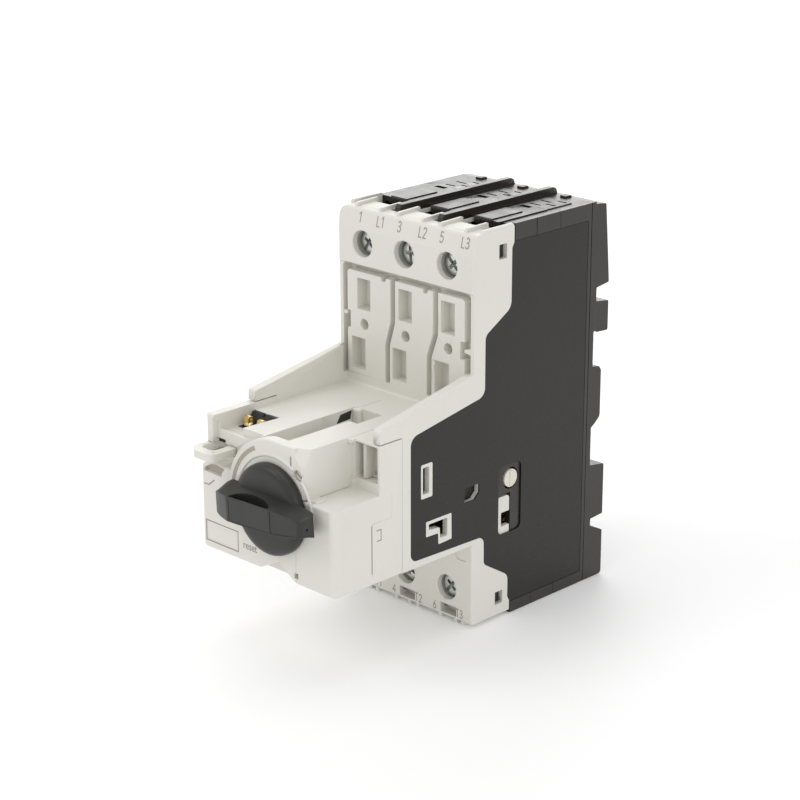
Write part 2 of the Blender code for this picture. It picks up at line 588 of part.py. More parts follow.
def arc_chute(name, x):
    adds = [box(x - 5.4, x - 4.4, -34.0, -20.5, 67.6, 82.4), box(x + 4.4, x + 5.4, -34.0, -20.5, 67.6, 82.4)]
    adds += [box(x - 5.0, x + 5.0, -33.4, -21.2, z, z + 0.9) for z in (68.6, 71.2, 73.8, 76.4, 79.0)]
    cuts = [box(x - 1.6, x + 1.6, -26.0, -20.0, 67.0, 84.0)]
    return solid(name, adds, cuts, BARE_STEEL)


def magnet_coil(name, x):
    return solid(name, [helix("Z", x, -27.0, 15.0, 29.0, 4.2, 0.85, 6, 12, 6)], [], COPPER_BAR)


def trip_plunger(name, x):
    adds = [cyl("Z", x, -27.0, 2.4, 13.5, 28.6, 14), cyl("Z", x, -27.0, 1.0, 28.0, 33.4, 10)]
    return solid(name, adds, [], BARE_STEEL)


def mechanism_frame():
    adds = [box(-9.4, 15.2, -68.6, -52.4, 28.2, 50.2)]
    cuts = [
        box(-8.4, 14.2, -67.4, -53.6, 20.0, 60.0),
        cyl("Y", KNOB_X, KNOB_Z, 2.9, -70.0, -50.0, 16),
        box(-12.0, 18.0, -64.0, -57.0, 32.0, 46.4),
    ]
    return solid("mechanism_frame", adds, cuts, BARE_STEEL)


def trip_bar():
    adds = [cyl("X", -48.4, 31.2, 1.5, -19.6, 19.6, 12)]
    adds += [box(x - 1.2, x + 1.2, -48.9, -43.8, 30.6, 31.8) for x in POLES]
    return solid("trip_bar", adds, [], NATURAL_PLASTIC)


def side_plunger():
    return solid("side_plunger", [cyl("X", -34.9, 35.5, 2.3, 20.2, 22.2, 16), box(20.2, 22.4, -35.3, -34.5, 33.6, 37.4)], [], NATURAL_PLASTIC)


# ---------------------------------------------------------------- rail latch
def rail_latch():
    plate = [(-4.1, 12.0), (-0.9, 12.0), (-0.9, 29.4), (-3.0, 31.8), (-4.1, 31.8)]
    adds = [prism("X", plate, -9.0, 9.0), box(4.2, 9.0, -4.1, -0.9, 1.0, 12.4)]
    cuts = [box(5.3, 7.9, -5.0, 0.0, 2.6, 5.0), box(-6.5, 6.5, -2.3, 0.0, 15.0, 25.0)]
    return solid("rail_latch", adds, cuts, DARK_PLASTIC)


def rail_latch_spring():
    return solid("rail_latch_spring", [helix("Z", 0.0, -2.45, 4.8, 11.8, 1.45, 0.25, 7, 12, 6, 1)], [], BARE_STEEL)


rear_base()
arc_housing()
front_cover()
side_skin("side_foil_left", -1)
side_skin("side_foil_right", 1)
control_housing()
control_plate()
right_block()
aux_window()
dial_ring()
knob()
handle_shaft()
latch_cam()
lock_tab()
test_button()
connector_socket()
contact_pin("contact_pin_1", -17.8)
contact_pin("contact_pin_2", -13.2)
for number, pole in zip((1, 3, 5), POLES):
    terminal_screw(f"terminal_screw_{number}", pole, SCREW_UP_Z, math.radians(35 + 20 * number))
    clamp(f"clamp_{number}", pole, SCREW_UP_Z)
    line_bar(f"line_bar_{number}", pole)
for number, pole in zip((2, 4, 6), POLES):
    terminal_screw(f"terminal_screw_{number}", pole, SCREW_LO_Z, math.radians(20 + 35 * number))
    clamp(f"clamp_{number}", pole, SCREW_LO_Z)
    load_bar(f"load_bar_{number}", pole)
for number, pole in enumerate(POLES, 1):
    contact_bridge(f"contact_bridge_{number}", pole)
    arc_chute(f"arc_chute_{number}", pole)
    magnet_coil(f"magnet_coil_{number}", pole)
    trip_plunger(f"trip_plunger_{number}", pole)
contact_carrier()
mechanism_frame()
trip_bar()
side_plunger()
rail_latch()
rail_latch_spring()
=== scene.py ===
"""Looks of the three-pole motor protection breaker: detailed shells, knob, screws, marks, materials, light and camera.

Shapes are written in millimetres on the same layout grid as the CAD (X right, Y to the back with the rear edge at 0,
Z up with the lower edge at 0) and moved onto the mounting datum, the middle of the rail seat.
"""

import json
import math

import bmesh
import bpy
import numpy as np
from mathutils import Matrix, Vector

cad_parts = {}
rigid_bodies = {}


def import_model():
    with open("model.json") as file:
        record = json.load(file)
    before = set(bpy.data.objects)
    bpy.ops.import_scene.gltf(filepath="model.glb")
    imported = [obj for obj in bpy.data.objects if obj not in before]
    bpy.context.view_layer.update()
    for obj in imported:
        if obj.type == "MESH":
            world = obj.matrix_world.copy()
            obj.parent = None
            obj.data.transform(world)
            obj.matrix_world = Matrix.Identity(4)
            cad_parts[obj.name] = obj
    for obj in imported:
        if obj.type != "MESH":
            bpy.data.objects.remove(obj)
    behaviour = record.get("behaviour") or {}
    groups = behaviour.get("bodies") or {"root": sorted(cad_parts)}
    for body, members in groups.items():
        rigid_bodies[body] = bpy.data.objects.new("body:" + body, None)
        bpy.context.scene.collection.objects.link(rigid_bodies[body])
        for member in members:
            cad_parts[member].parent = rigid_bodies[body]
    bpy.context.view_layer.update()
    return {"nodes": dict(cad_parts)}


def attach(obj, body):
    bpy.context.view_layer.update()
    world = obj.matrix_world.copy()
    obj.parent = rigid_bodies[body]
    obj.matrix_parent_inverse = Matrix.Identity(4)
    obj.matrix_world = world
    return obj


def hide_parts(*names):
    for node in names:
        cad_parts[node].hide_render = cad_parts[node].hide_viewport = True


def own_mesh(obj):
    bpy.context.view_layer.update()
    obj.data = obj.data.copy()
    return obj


for old in list(bpy.data.objects):
    bpy.data.objects.remove(old, do_unlink=True)
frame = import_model()

# ---------------------------------------------------------------- dimensions (mm)
MM = 0.001
DATUM = (0.0, 5.4, -47.75)
HALF_W = 22.5
POLES = (-14.1, 0.0, 14.1)
Y_SPLIT = -18.7
Y_COVER = -35.1
Y_TERM_UP = -49.3
Y_TERM_LO = -48.85
Y_PANEL = -48.7
Y_NOSE = -72.6
Y_FACE = -91.5
Y_PLATE = -94.5
Z_TOP = 98.5
Z_COVER_TOP = 98.4
Z_COVER_BOTTOM = 0.9
Z_FLOOR = 54.0
Z_NOSE_BOTTOM = 22.2
Z_SHELF = 43.4
RAIL_FLOOR = -5.4
RAIL_LOW, RAIL_HIGH = 30.9, 65.5
KNOB_X, KNOB_Z = 2.9, 39.2
KNOB_TILT = math.radians(3.0)
SCREW_UP_Z, SCREW_LO_Z = 90.0, 8.55
RIB_X, RIB_HALF, RIB_FRONT = 7.05, 0.8, -44.2
SKIN, SKIN_BED = 0.35, 0.45
CAM_CLEAR = 48.4


# ---------------------------------------------------------------- shape makers, all in layout millimetres
def place(axis, a, b, t):
    return {"X": (t, a, b), "Y": (a, t, b), "Z": (a, b, t)}[axis]


def levels(axis, sections):
    """A solid through several outlines of the same number of points, each with its distance along the axis."""
    n = len(sections[0][0])
    verts, faces = [], []
    for outline, t in sections:
        verts += [place(axis, a, b, t) for a, b in outline]
    last = n * (len(sections) - 1)
    faces.append(tuple(range(n)))
    faces.append(tuple(range(last, last + n)))
    for k in range(len(sections) - 1):
        base = k * n
        faces += [(base + i, base + (i + 1) % n, base + n + (i + 1) % n, base + n + i) for i in range(n)]
    return verts, faces


def loft(axis, first, lo, second, hi):
    return levels(axis, [(first, lo), (second, hi)])


def prism(axis, outline, lo, hi):
    return loft(axis, outline, lo, outline, hi)


def box(x0, x1, y0, y1, z0, z1):
    return prism("Z", [(x0, y0), (x1, y0), (x1, y1), (x0, y1)], z0, z1)


def ring_points(a, b, r, n, start=0.0):
    return [
        (a + r * math.cos(start + 2 * math.pi * i / n), b + r * math.sin(start + 2 * math.pi * i / n))
        for i in range(n)
    ]


def cyl(axis, a, b, r, lo, hi, n=48):
    return prism(axis, ring_points(a, b, r, n), lo, hi)


def turned(axis, a, b, profile, n=96):
    """A solid of revolution; the profile is (radius, distance) from one end to the other."""
    return levels(axis, [(ring_points(a, b, r, n), t) for r, t in profile])


def area_of(points):
    return sum(
        points[i][0] * points[(i + 1) % len(points)][1] - points[(i + 1) % len(points)][0] * points[i][1]
        for i in range(len(points))
    )


def fillet(points, radii, step=14.0):
    """An outline with each corner rounded; radii is one number or one for each corner."""
    n = len(points)
    radii = [radii] * n if isinstance(radii, (int, float)) else list(radii)
    out = []
    for i, (a, b) in enumerate(points):
        p = Vector((a, b))
        u = Vector(points[i - 1]) - p
        v = Vector(points[(i + 1) % n]) - p
        lu, lv = u.length, v.length
        u.normalize()
        v.normalize()
        half = math.acos(max(-1.0, min(1.0, u.dot(v)))) / 2
        r = radii[i]
        if r <= 0 or half > math.radians(88.5) or half < math.radians(2):
            out.append((a, b))
            continue
        t = min(r / math.tan(half), 0.48 * lu, 0.48 * lv)
        r = t * math.tan(half)
        centre = p + (u + v).normalized() * (r / math.sin(half))
        p0, p1 = p + u * t, p + v * t
        a0 = math.atan2(p0.y - centre.y, p0.x - centre.x)
        a1 = math.atan2(p1.y - centre.y, p1.x - centre.x)
        sweep = (a1 - a0 + math.pi) % (2 * math.pi) - math.pi
        k = max(2, math.ceil(abs(math.degrees(sweep)) / step))
        for j in range(k + 1):
            angle = a0 + sweep * j / k
            out.append((centre.x + r * math.cos(angle), centre.y + r * math.sin(angle)))
    return out


def rect(a0, a1, b0, b1):
    return [(a0, b0), (a1, b0), (a1, b1), (a0, b1)]


def rounded(a0, a1, b0, b1, r, step=14.0):
    return fillet(rect(a0, a1, b0, b1), r, step)


def rbox(axis, a0, a1, b0, b1, lo, hi, r):
    return prism(axis, rounded(a0, a1, b0, b1, r), lo, hi)


def grown(points, by):
    """The outline moved outwards by a distance."""
    sign = 1 if area_of(points) > 0 else -1
    out = []
    for i, (a, b) in enumerate(points):
        pa, pb = points[i - 1]
        na, nb = points[(i + 1) % len(points)]
        u = Vector((a - pa, b - pb)).normalized()
        v = Vector((na - a, nb - b)).normalized()
        n1 = Vector((u.y, -u.x)) * sign
        n2 = Vector((v.y, -v.x)) * sign
        m = (n1 + n2).normalized()
        scale = by / max(0.35, m.dot(n1))
        out.append((a + m.x * scale, b + m.y * scale))
    return out


def edge_round(axis, a, b, r, sa, sb, lo, hi, n=8):
    """A cutter that rounds the corner at (a, b) of a shape lying on its -sa, -sb side."""
    ca, cb, e = a - sa * r, b - sb * r, 1.0
    points = [(a + sa * e, cb)]
    points += [
        (ca + sa * r * math.cos(math.pi / 2 * i / n), cb + sb * r * math.sin(math.pi / 2 * i / n)) for i in range(n + 1)
    ]
    points += [(ca, b + sb * e), (a + sa * e, b + sb * e)]
    return prism(axis, points, lo, hi)


def arc_points(a, b, r, start, end, n):
    return [
        (a + r * math.cos(math.radians(start + (end - start) * i / n)), b + r * math.sin(math.radians(start + (end - start) * i / n)))
        for i in range(n + 1)
    ]


def stroke(points, width):
    """The outline of a line of some width through the points."""
    left, right = [], []
    for i, (a, b) in enumerate(points):
        p = Vector((a, b))
        before = (p - Vector(points[i - 1])).normalized() if i else None
        after = (Vector(points[i + 1]) - p).normalized() if i < len(points) - 1 else None
        d = ((before or after) + (after or before)).normalized()
        n = Vector((-d.y, d.x)) * width / 2
        if before and after:
            n /= max(0.4, d.dot(after))
        left.append((a + n.x, b + n.y))
        right.append((a - n.x, b - n.y))
    return left + right[::-1]


# ---------------------------------------------------------------- mesh work
def loose(shape):
    verts, faces = shape
    mesh = bpy.data.meshes.new("shape")
    mesh.from_pydata(
        [((x + DATUM[0]) * MM, (y + DATUM[1]) * MM, (z + DATUM[2]) * MM) for x, y, z in verts], [], faces
    )
    bm = bmesh.new()
    bm.from_mesh(mesh)
    bmesh.ops.recalc_face_normals(bm, faces=bm.faces)
    bm.to_mesh(mesh)
    bm.free()
    obj = bpy.data.objects.new("shape", mesh)
    bpy.context.scene.collection.objects.link(obj)
    return obj


def boolean(obj, others, operation):
    group = bpy.data.collections.new("group")
    bpy.context.scene.collection.children.link(group)
    for other in others:
        bpy.context.scene.collection.objects.unlink(other)
        group.objects.link(other)
    step = obj.modifiers.new(operation.lower(), "BOOLEAN")
    step.operation = operation
    step.solver = "EXACT"
    step.operand_type = "COLLECTION"
    step.collection = group
    return group


def evaluated(obj):
    bpy.context.view_layer.update()
    graph = bpy.context.evaluated_depsgraph_get()
    return bpy.data.meshes.new_from_object(obj.evaluated_get(graph), depsgraph=graph)


def merge_flat(bm):
    """Drops the points that only split a straight edge in two."""
    spare = []
    for vert in bm.verts:
        if len(vert.link_edges) != 2 or len(vert.link_faces) != 2:
            continue
        one, two = (e.other_vert(vert).co - vert.co for e in vert.link_edges)
        if one.length > 0 and two.length > 0 and one.normalized().dot(two.normalized()) < -0.99995:
            spare.append(vert)
    bmesh.ops.dissolve_verts(bm, verts=spare)


def relax_flat(bm):
    """Turns the diagonals inside flat areas so that their triangles are as fat as they can be."""
    flat = [
        e for e in bm.edges
        if len(e.link_faces) == 2 and e.calc_face_angle(1.0) < math.radians(0.5)
    ]
    faces = list({f for e in flat for f in e.link_faces})
    bmesh.ops.beautify_fill(bm, faces=faces, edges=flat, use_restrict_tag=False, method="ANGLE")


def weigh_edges(bm, limit, planes, width):
    """Gives each sharp edge its bevel weight: full where there is room, less beside narrow faces and short edges."""
    weight = bm.edges.layers.float.new("bevel_weight_edge")
    bm.normal_update()
    sharp = {}
    for face in bm.faces:
        face.smooth = True
    for edge in bm.edges:
        if len(edge.link_faces) != 2:
            continue
        if edge.calc_face_angle(0.0) < limit:
            continue
        if any(all(abs(v.co[k] - value) < 0.02 * MM for v in edge.verts) for k, value in planes):
            edge.smooth = False
            continue
        sharp[edge.index] = width
    room = dict(sharp)
    for face in bm.faces:
        loops = list(face.loops)
        n = len(loops)
        starts = np.array([l.vert.co[:] for l in loops])
        ends = np.roll(starts, -1, axis=0)
        along = ends - starts
        length = np.linalg.norm(along, axis=1)
        unit = along / np.maximum(length, 1e-12)[:, None]
        index = [l.edge.index for l in loops]
        hard = np.array([i in sharp for i in index])
        if not hard.any():
            continue
        facing = unit @ unit.T < -0.15
        middle = (starts + ends) / 2
        gap = np.full(n, 1.0)
        for points in (starts * 0.98 + ends * 0.02, middle, ends * 0.98 + starts * 0.02):
            # distance from each edge's points to every other edge
            rel = points[:, None, :] - starts[None, :, :]
            t = np.clip((rel * along[None]).sum(2) / np.maximum(length**2, 1e-20)[None], 0, 1)
            d = np.linalg.norm(rel - t[..., None] * along[None], axis=2)
            both = np.where(facing, d, 1.0)
            gap = np.minimum(gap, both.min(1))
            gap = np.minimum(gap, both.min(0))
        for k in range(n):
            if not hard[k]:
                continue
            most = 0.42 * gap[k]
            before, after = (k - 1) % n, (k + 1) % n
            for other in (before, after):
                if not hard[other]:
                    sine = np.linalg.norm(np.cross(unit[k], unit[other]))
                    most = min(most, 0.45 * length[other] * sine)
            room[index[k]] = min(room[index[k]], most)
    # neighbours along a chain keep within a factor of each other
    bm.verts.ensure_lookup_table()
    for _ in range(2):
        calm = dict(room)
        for vert in bm.verts:
            near = [e.index for e in vert.link_edges if e.index in room]
            if len(near) < 2:
                continue
            least = min(room[i] for i in near)
            for i in near:
                calm[i] = min(calm[i], max(least * 1.0, 0.0) + 0.35 * room[i])
        room = calm
    bm.edges.ensure_lookup_table()
    for i, value in room.items():
        bm.edges[i][weight] = max(0.0, min(1.0, value / width)) if width > 0 else 0.0
        if value < 0.004 * MM:
            bm.edges[i][weight] = 0.0
            bm.edges[i].smooth = False


def carve(name, adds, cuts, mat, body="housing", nodes=(), slot=None, bevel=0.18, segments=2, angle=27.0, crisp=()):
    """A piece: the union of adds less the cuts, points on straight edges dropped, faces triangulated, every sharp edge
    rounded, then smooth shaded.
    crisp lists planes, as (axis, layout millimetres), whose edges stay sharp because a neighbour is flush with them."""
    base = loose(adds[0])
    groups = []
    if len(adds) > 1:
        groups.append(boolean(base, [loose(s) for s in adds[1:]], "UNION"))
    if cuts:
        groups.append(boolean(base, [loose(s) for s in cuts], "DIFFERENCE"))
    mesh = evaluated(base)
    for group in groups:
        for obj in list(group.objects):
            bpy.data.objects.remove(obj, do_unlink=True)
        bpy.data.collections.remove(group)
    bpy.data.objects.remove(base, do_unlink=True)
    bm = bmesh.new()
    bm.from_mesh(mesh)
    bmesh.ops.remove_doubles(bm, verts=bm.verts, dist=0.006 * MM)
    bmesh.ops.dissolve_degenerate(bm, dist=0.006 * MM, edges=bm.edges)
    merge_flat(bm)
    bmesh.ops.triangulate(bm, faces=bm.faces, quad_method="BEAUTY", ngon_method="BEAUTY")
    relax_flat(bm)
    planes = [("XYZ".index(axis), (value + DATUM["XYZ".index(axis)]) * MM) for axis, value in crisp]
    weigh_edges(bm, math.radians(angle), planes, bevel * MM)
    bm.to_mesh(mesh)
    bm.free()
    obj = bpy.data.objects.new(name, mesh)
    bpy.context.scene.collection.objects.link(obj)
    if bevel > 0:
        step = obj.modifiers.new("bevel", "BEVEL")
        step.width = bevel * MM
        step.segments = segments
        step.limit_method = "WEIGHT"
        step.use_clamp_overlap = False
        step.miter_outer = "MITER_SHARP"
        step.harden_normals = False
        even = obj.modifiers.new("even", "WEIGHTED_NORMAL")
        even.mode = "FACE_AREA"
        even.weight = 60
        even.keep_sharp = True
    final = evaluated(obj)
    for _ in range(5):
        spots = folded(final)
        if not bevel or not len(spots):
            break
        # where the bevel folded over itself, the edges nearby get a finer one, and at last stay sharp
        weights = mesh.attributes["bevel_weight_edge"].data
        for edge in mesh.edges:
            if weights[edge.index].value > 0:
                a, b = (mesh.vertices[i].co for i in edge.vertices)
                if near_line(spots, a, b) < 0.12 * MM:
                    finer = weights[edge.index].value * 0.4
                    weights[edge.index].value = finer if finer > 0.05 else 0.0
                    if finer <= 0.05:
                        edge.use_edge_sharp = True
        mesh.update()
        bpy.data.meshes.remove(final)
        final = evaluated(obj)
    obj.modifiers.clear()
    obj.data = final
    final.name = name
    finish_piece(obj, mat, body, nodes)
    return obj


def folded(mesh):
    """The corners of faces that fold over themselves."""
    mesh.calc_loop_triangles()
    area = np.zeros(len(mesh.polygons))
    for tri in mesh.loop_triangles:
        area[tri.polygon_index] += tri.area
    spots = [
        mesh.vertices[i].co[:] for p in mesh.polygons
        if abs(area[p.index] - p.area) > 1e-9 + 0.002 * p.area for i in p.vertices
    ]
    return np.array(spots)


def near_line(spots, a, b):
    """The least distance from the spots to the line from a to b."""
    a, b = np.array(a), np.array(b)
    along = b - a
    t = np.clip(((spots - a) @ along) / max(along @ along, 1e-20), 0, 1)
    return float(np.linalg.norm(spots - a - t[:, None] * along, axis=1).min())


def finish_piece(obj, mat, body, nodes=()):
    obj.data.materials.clear()
    obj.data.materials.append(mat)
    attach(obj, body)
    if nodes:
        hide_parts(*nodes)
    return obj


def smooth_piece(name, shape, mat, body="housing", nodes=(), sub=0, bevel=0.0, segments=2, angle=27.0):
    """One shape, its sharp edges bevelled, with an optional subdivision surface, smooth shaded."""
    obj = loose(shape)
    obj.name = name
    for face in obj.data.polygons:
        face.use_smooth = True
    if bevel:
        step = obj.modifiers.new("bevel", "BEVEL")
        step.width = bevel * MM
        step.segments = segments
        step.limit_method = "ANGLE"
        step.angle_limit = math.radians(angle)
        step.use_clamp_overlap = False
    if sub:
        step = obj.modifiers.new("sub", "SUBSURF")
        step.levels = step.render_levels = sub
    even = obj.modifiers.new("even", "WEIGHTED_NORMAL")
    even.mode = "FACE_AREA"
    even.weight = 60
    final = evaluated(obj)
    obj.modifiers.clear()
    obj.data = final
    final.name = name
    return finish_piece(obj, mat, body, nodes)


# ---------------------------------------------------------------- materials
def linear(r, g, b):
    def one(c):
        c /= 255
        return c / 12.92 if c <= 0.04045 else ((c + 0.055) / 1.055) ** 2.4

    return (one(r), one(g), one(b), 1.0)


class Net:
    def __init__(self, name):
        self.mat = bpy.data.materials.new(name)
        self.mat.use_nodes = True
        self.tree = self.mat.node_tree
        self.shader = self.tree.nodes["Principled BSDF"]
        self.where = self.tree.nodes.new("ShaderNodeTexCoord").outputs["Object"]

    def node(self, kind, **inputs):
        made = self.tree.nodes.new(kind)
        for key, value in inputs.items():
            socket = made.inputs[key.replace("_", " ")]
            if isinstance(value, bpy.types.NodeSocket):
                self.tree.links.new(value, socket)
            else:
                socket.default_value = value
        return made

    def noise(self, scale, detail=3.0, rough=0.55, stretch=None):
        vector = self.where
        if stretch:
            move = self.node("ShaderNodeMapping", Vector=vector)
            move.inputs["Scale"].default_value = stretch
            vector = move.outputs["Vector"]
        made = self.node("ShaderNodeTexNoise", Vector=vector, Scale=scale, Detail=detail, Roughness=rough)
        return made.outputs["Fac"]

    def spread(self, value, lo, hi, start=0.3, end=0.7):
        made = self.node("ShaderNodeMapRange", Value=value)
        made.inputs["From Min"].default_value = start
        made.inputs["From Max"].default_value = end
        made.inputs["To Min"].default_value = lo
        made.inputs["To Max"].default_value = hi
        return made.outputs["Result"]

    def between(self, factor, a, b):
        made = self.tree.nodes.new("ShaderNodeMix")
        made.data_type = "RGBA"
        self.tree.links.new(factor, made.inputs[0])
        made.inputs[6].default_value = a
        made.inputs[7].default_value = b
        return made.outputs[2]

    def set(self, key, value):
        socket = self.shader.inputs[key]
        if isinstance(value, bpy.types.NodeSocket):
            self.tree.links.new(value, socket)
        else:
            socket.default_value = value

    def bump(self, layers):
        """Bump from (height, strength, depth in mm) layers, one on the other."""
        normal = None
        for height, strength, depth in layers:
            made = self.node("ShaderNodeBump", Height=height, Strength=strength, Distance=depth * MM)
            if normal is not None:
                self.tree.links.new(normal, made.inputs["Normal"])
            normal = made.outputs["Normal"]
        self.tree.links.new(normal, self.shader.inputs["Normal"])


def scaled(colour, k):
    return (colour[0] * k, colour[1] * k, colour[2] * k, 1.0)


def plastic(name, colour, rough, variation=0.03, grain=0.012, grain_scale=2600.0, level=0.5, coat=0.0):
    """Moulded plastic: a fine spark-eroded grain, a slow change of shade and of gloss over the part."""
    net = Net(name)
    slow = net.spread(net.noise(38.0, 4.0), 0.0, 1.0)
    net.set("Base Color", net.between(slow, scaled(colour, 1 - variation), scaled(colour, 1 + variation)))
    mottled = net.noise(210.0, 5.0, 0.6)
    net.set("Roughness", net.spread(mottled, rough - 0.05, rough + 0.07))
    fine = net.noise(grain_scale, 2.0, 0.6)
    wavy = net.noise(95.0, 2.0, 0.5)
    net.bump([(wavy, 0.12, 0.03), (fine, 0.5, grain)])
    net.set("Specular IOR Level", level)
    if coat:
        net.set("Coat Weight", coat)
        net.set("Coat Roughness", 0.18)
    return net.mat


def metal(name, colour, rough, streak=(1.0, 1.0, 1.0), variation=0.08):
    """Plated or bare metal: cloudy plating, fine drawing or turning lines, and small handling marks."""
    net = Net(name)
    cloud = net.spread(net.noise(520.0, 5.0, 0.65), 0.0, 1.0)
    net.set("Base Color", net.between(cloud, scaled(colour, 1 - variation), scaled(colour, 1 + variation * 0.6)))
    net.set("Metallic", 1.0)
    net.set("Roughness", net.spread(net.noise(900.0, 4.0, 0.6), rough - 0.08, rough + 0.12))
    lines = net.noise(1800.0, 2.0, 0.5, streak)
    marks = net.noise(700.0, 6.0, 0.7)
    net.bump([(marks, 0.25, 0.02), (lines, 0.3, 0.01)])
    return net.mat


LIGHT = plastic("shell_light_grey", linear(222, 220, 212), 0.44, 0.018)
# painted shade: a darker copy of the light shell plastic for parts set back in windows and holes
LIGHT_SHADED = plastic("shell_light_painted_shade", linear(206, 203, 194), 0.5, 0.03)
DARK = plastic("base_dark_brown", linear(43, 38, 34), 0.30, 0.10, grain=0.016, level=0.5)
FOIL = plastic("foil_black", linear(26, 22, 20), 0.28, 0.06, grain=0.004, grain_scale=1500.0, level=0.4)
KNOB = plastic("knob_anthracite", linear(44, 44, 41), 0.38, 0.08, grain=0.018, level=0.42)
# painted shade: a darker grey for the screw guides, standing in for the shadow inside the screw holes
GUIDE_PAINTED_SHADE = plastic("guide_painted_shade_grey", linear(158, 158, 152), 0.5, 0.05)
# black of the plug socket; also the colour of the painted shade boxes behind small openings
SOCKET_AND_SHADE_BLACK = plastic("socket_black_and_painted_shade", linear(40, 39, 37), 0.45, 0.08, level=0.4)
NATURAL = plastic("inner_natural_plastic", linear(226, 222, 208), 0.5, 0.04)
PRINT = plastic("print_warm_grey", linear(150, 144, 130), 0.55, 0.05, grain=0.006)
BAND = plastic("inlay_beige", linear(168, 160, 146), 0.5, 0.05, grain=0.01)
ZINC = metal("zinc_plated_steel", (0.66, 0.68, 0.66, 1.0), 0.3)
COPPER = metal("bare_copper", (0.83, 0.47, 0.31, 1.0), 0.28, (1.0, 1.0, 6.0))
GOLD = metal("gold_plated_pin", (0.92, 0.70, 0.32, 1.0), 0.24)
STEEL = metal("bare_spring_steel", (0.50, 0.50, 0.49, 1.0), 0.35, (1.0, 4.0, 1.0))

BY_SLOT = {
    "light_plastic": LIGHT, "dark_plastic": DARK, "black_foil": FOIL, "knob_plastic": KNOB, "zinc_steel": ZINC,
    "copper": COPPER, "gold_pin": GOLD, "bare_steel": STEEL, "natural_plastic": NATURAL,
}
BY_NODE = {
    "handle_shaft": STEEL, "latch_cam": NATURAL, "contact_carrier": NATURAL, "trip_bar": NATURAL,
    "side_plunger": NATURAL, "mechanism_frame": STEEL, "rail_latch": DARK, "rail_latch_spring": STEEL,
    "connector_socket": SOCKET_AND_SHADE_BLACK, "contact_pin_1": GOLD, "contact_pin_2": GOLD,
}
for node_name, node in frame["nodes"].items():
    chosen = BY_NODE.get(node_name)
    if chosen is None and node_name.startswith(("line_bar", "load_bar", "contact_bridge", "magnet_coil")):
        chosen = COPPER
    if chosen is None and node_name.startswith(("terminal_screw", "clamp")):
        chosen = ZINC
    if chosen is None and node_name.startswith(("arc_chute", "trip_plunger")):
        chosen = STEEL
    if chosen is None:
        old = node.data.materials[0].name.split(".")[0] if node.data.materials else ""
        chosen = BY_SLOT.get(old, LIGHT)
    for index in range(len(node.material_slots)):
        node.material_slots[index].material = chosen
    if not node.material_slots:
        node.data.materials.append(chosen)


# ---------------------------------------------------------------- outlines of the skins and windows
SKIN_CORNERS = [
    (-8.4, 94.8, 0.6), (-35.0, 94.8, 0.6), (-35.8, 93.4, 0.8), (-35.8, 78.87, 3.0), (-44.7, 73.7, 2.0),
    (-44.7, 58.9, 2.5), (-69.7, 54.6, 2.5), (-69.7, 23.85, 2.0), (-44.6, 23.2, 2.0), (-44.5, 15.83, 1.5),
    (-35.8, 10.49, 2.5), (-35.8, 4.6, 0.8), (-34.9, 3.0, 0.6), (-8.4, 3.0, 0.6),
]
SKIN_OUTLINE = fillet([(a, b) for a, b, r in SKIN_CORNERS], [r for a, b, r in SKIN_CORNERS], 9.0)
SLOT_RIM = rounded(-66.4, -62.4, 38.5, 47.2, 0.5)
SLOT_HOLE = rounded(-65.7, -63.6, 39.7, 46.3, 0.25)
POCKET_RIM = fillet([(-52.8, 32.6), (-47.6, 32.6), (-46.0, 34.2), (-46.0, 37.7), (-52.8, 37.7)], [0.5, 0.8, 0.8, 0.5, 0.5])
POCKET_HOLE = fillet([(-51.5, 33.6), (-48.0, 33.6), (-46.4, 35.1), (-46.4, 37.3), (-51.5, 37.3)], 0.25)
ANGLE_RIM = fillet([(-64.7, 28.6), (-60.6, 28.5), (-60.5, 25.6), (-55.8, 25.8), (-55.9, 32.6), (-64.7, 32.6)], 0.4)
ANGLE_HOLE = fillet([(-63.7, 30.3), (-60.0, 29.9), (-59.8, 27.2), (-57.4, 27.2), (-57.4, 31.7), (-63.7, 31.7)], 0.25)
CUTOUT = rounded(-39.5, -31.4, 21.7, 39.3, 1.5)


def skin_beds():
    outline = grown(SKIN_OUTLINE, 0.1)
    return [prism("X", outline, s * (HALF_W - SKIN_BED), s * (HALF_W + 1)) for s in (-1, 1)]


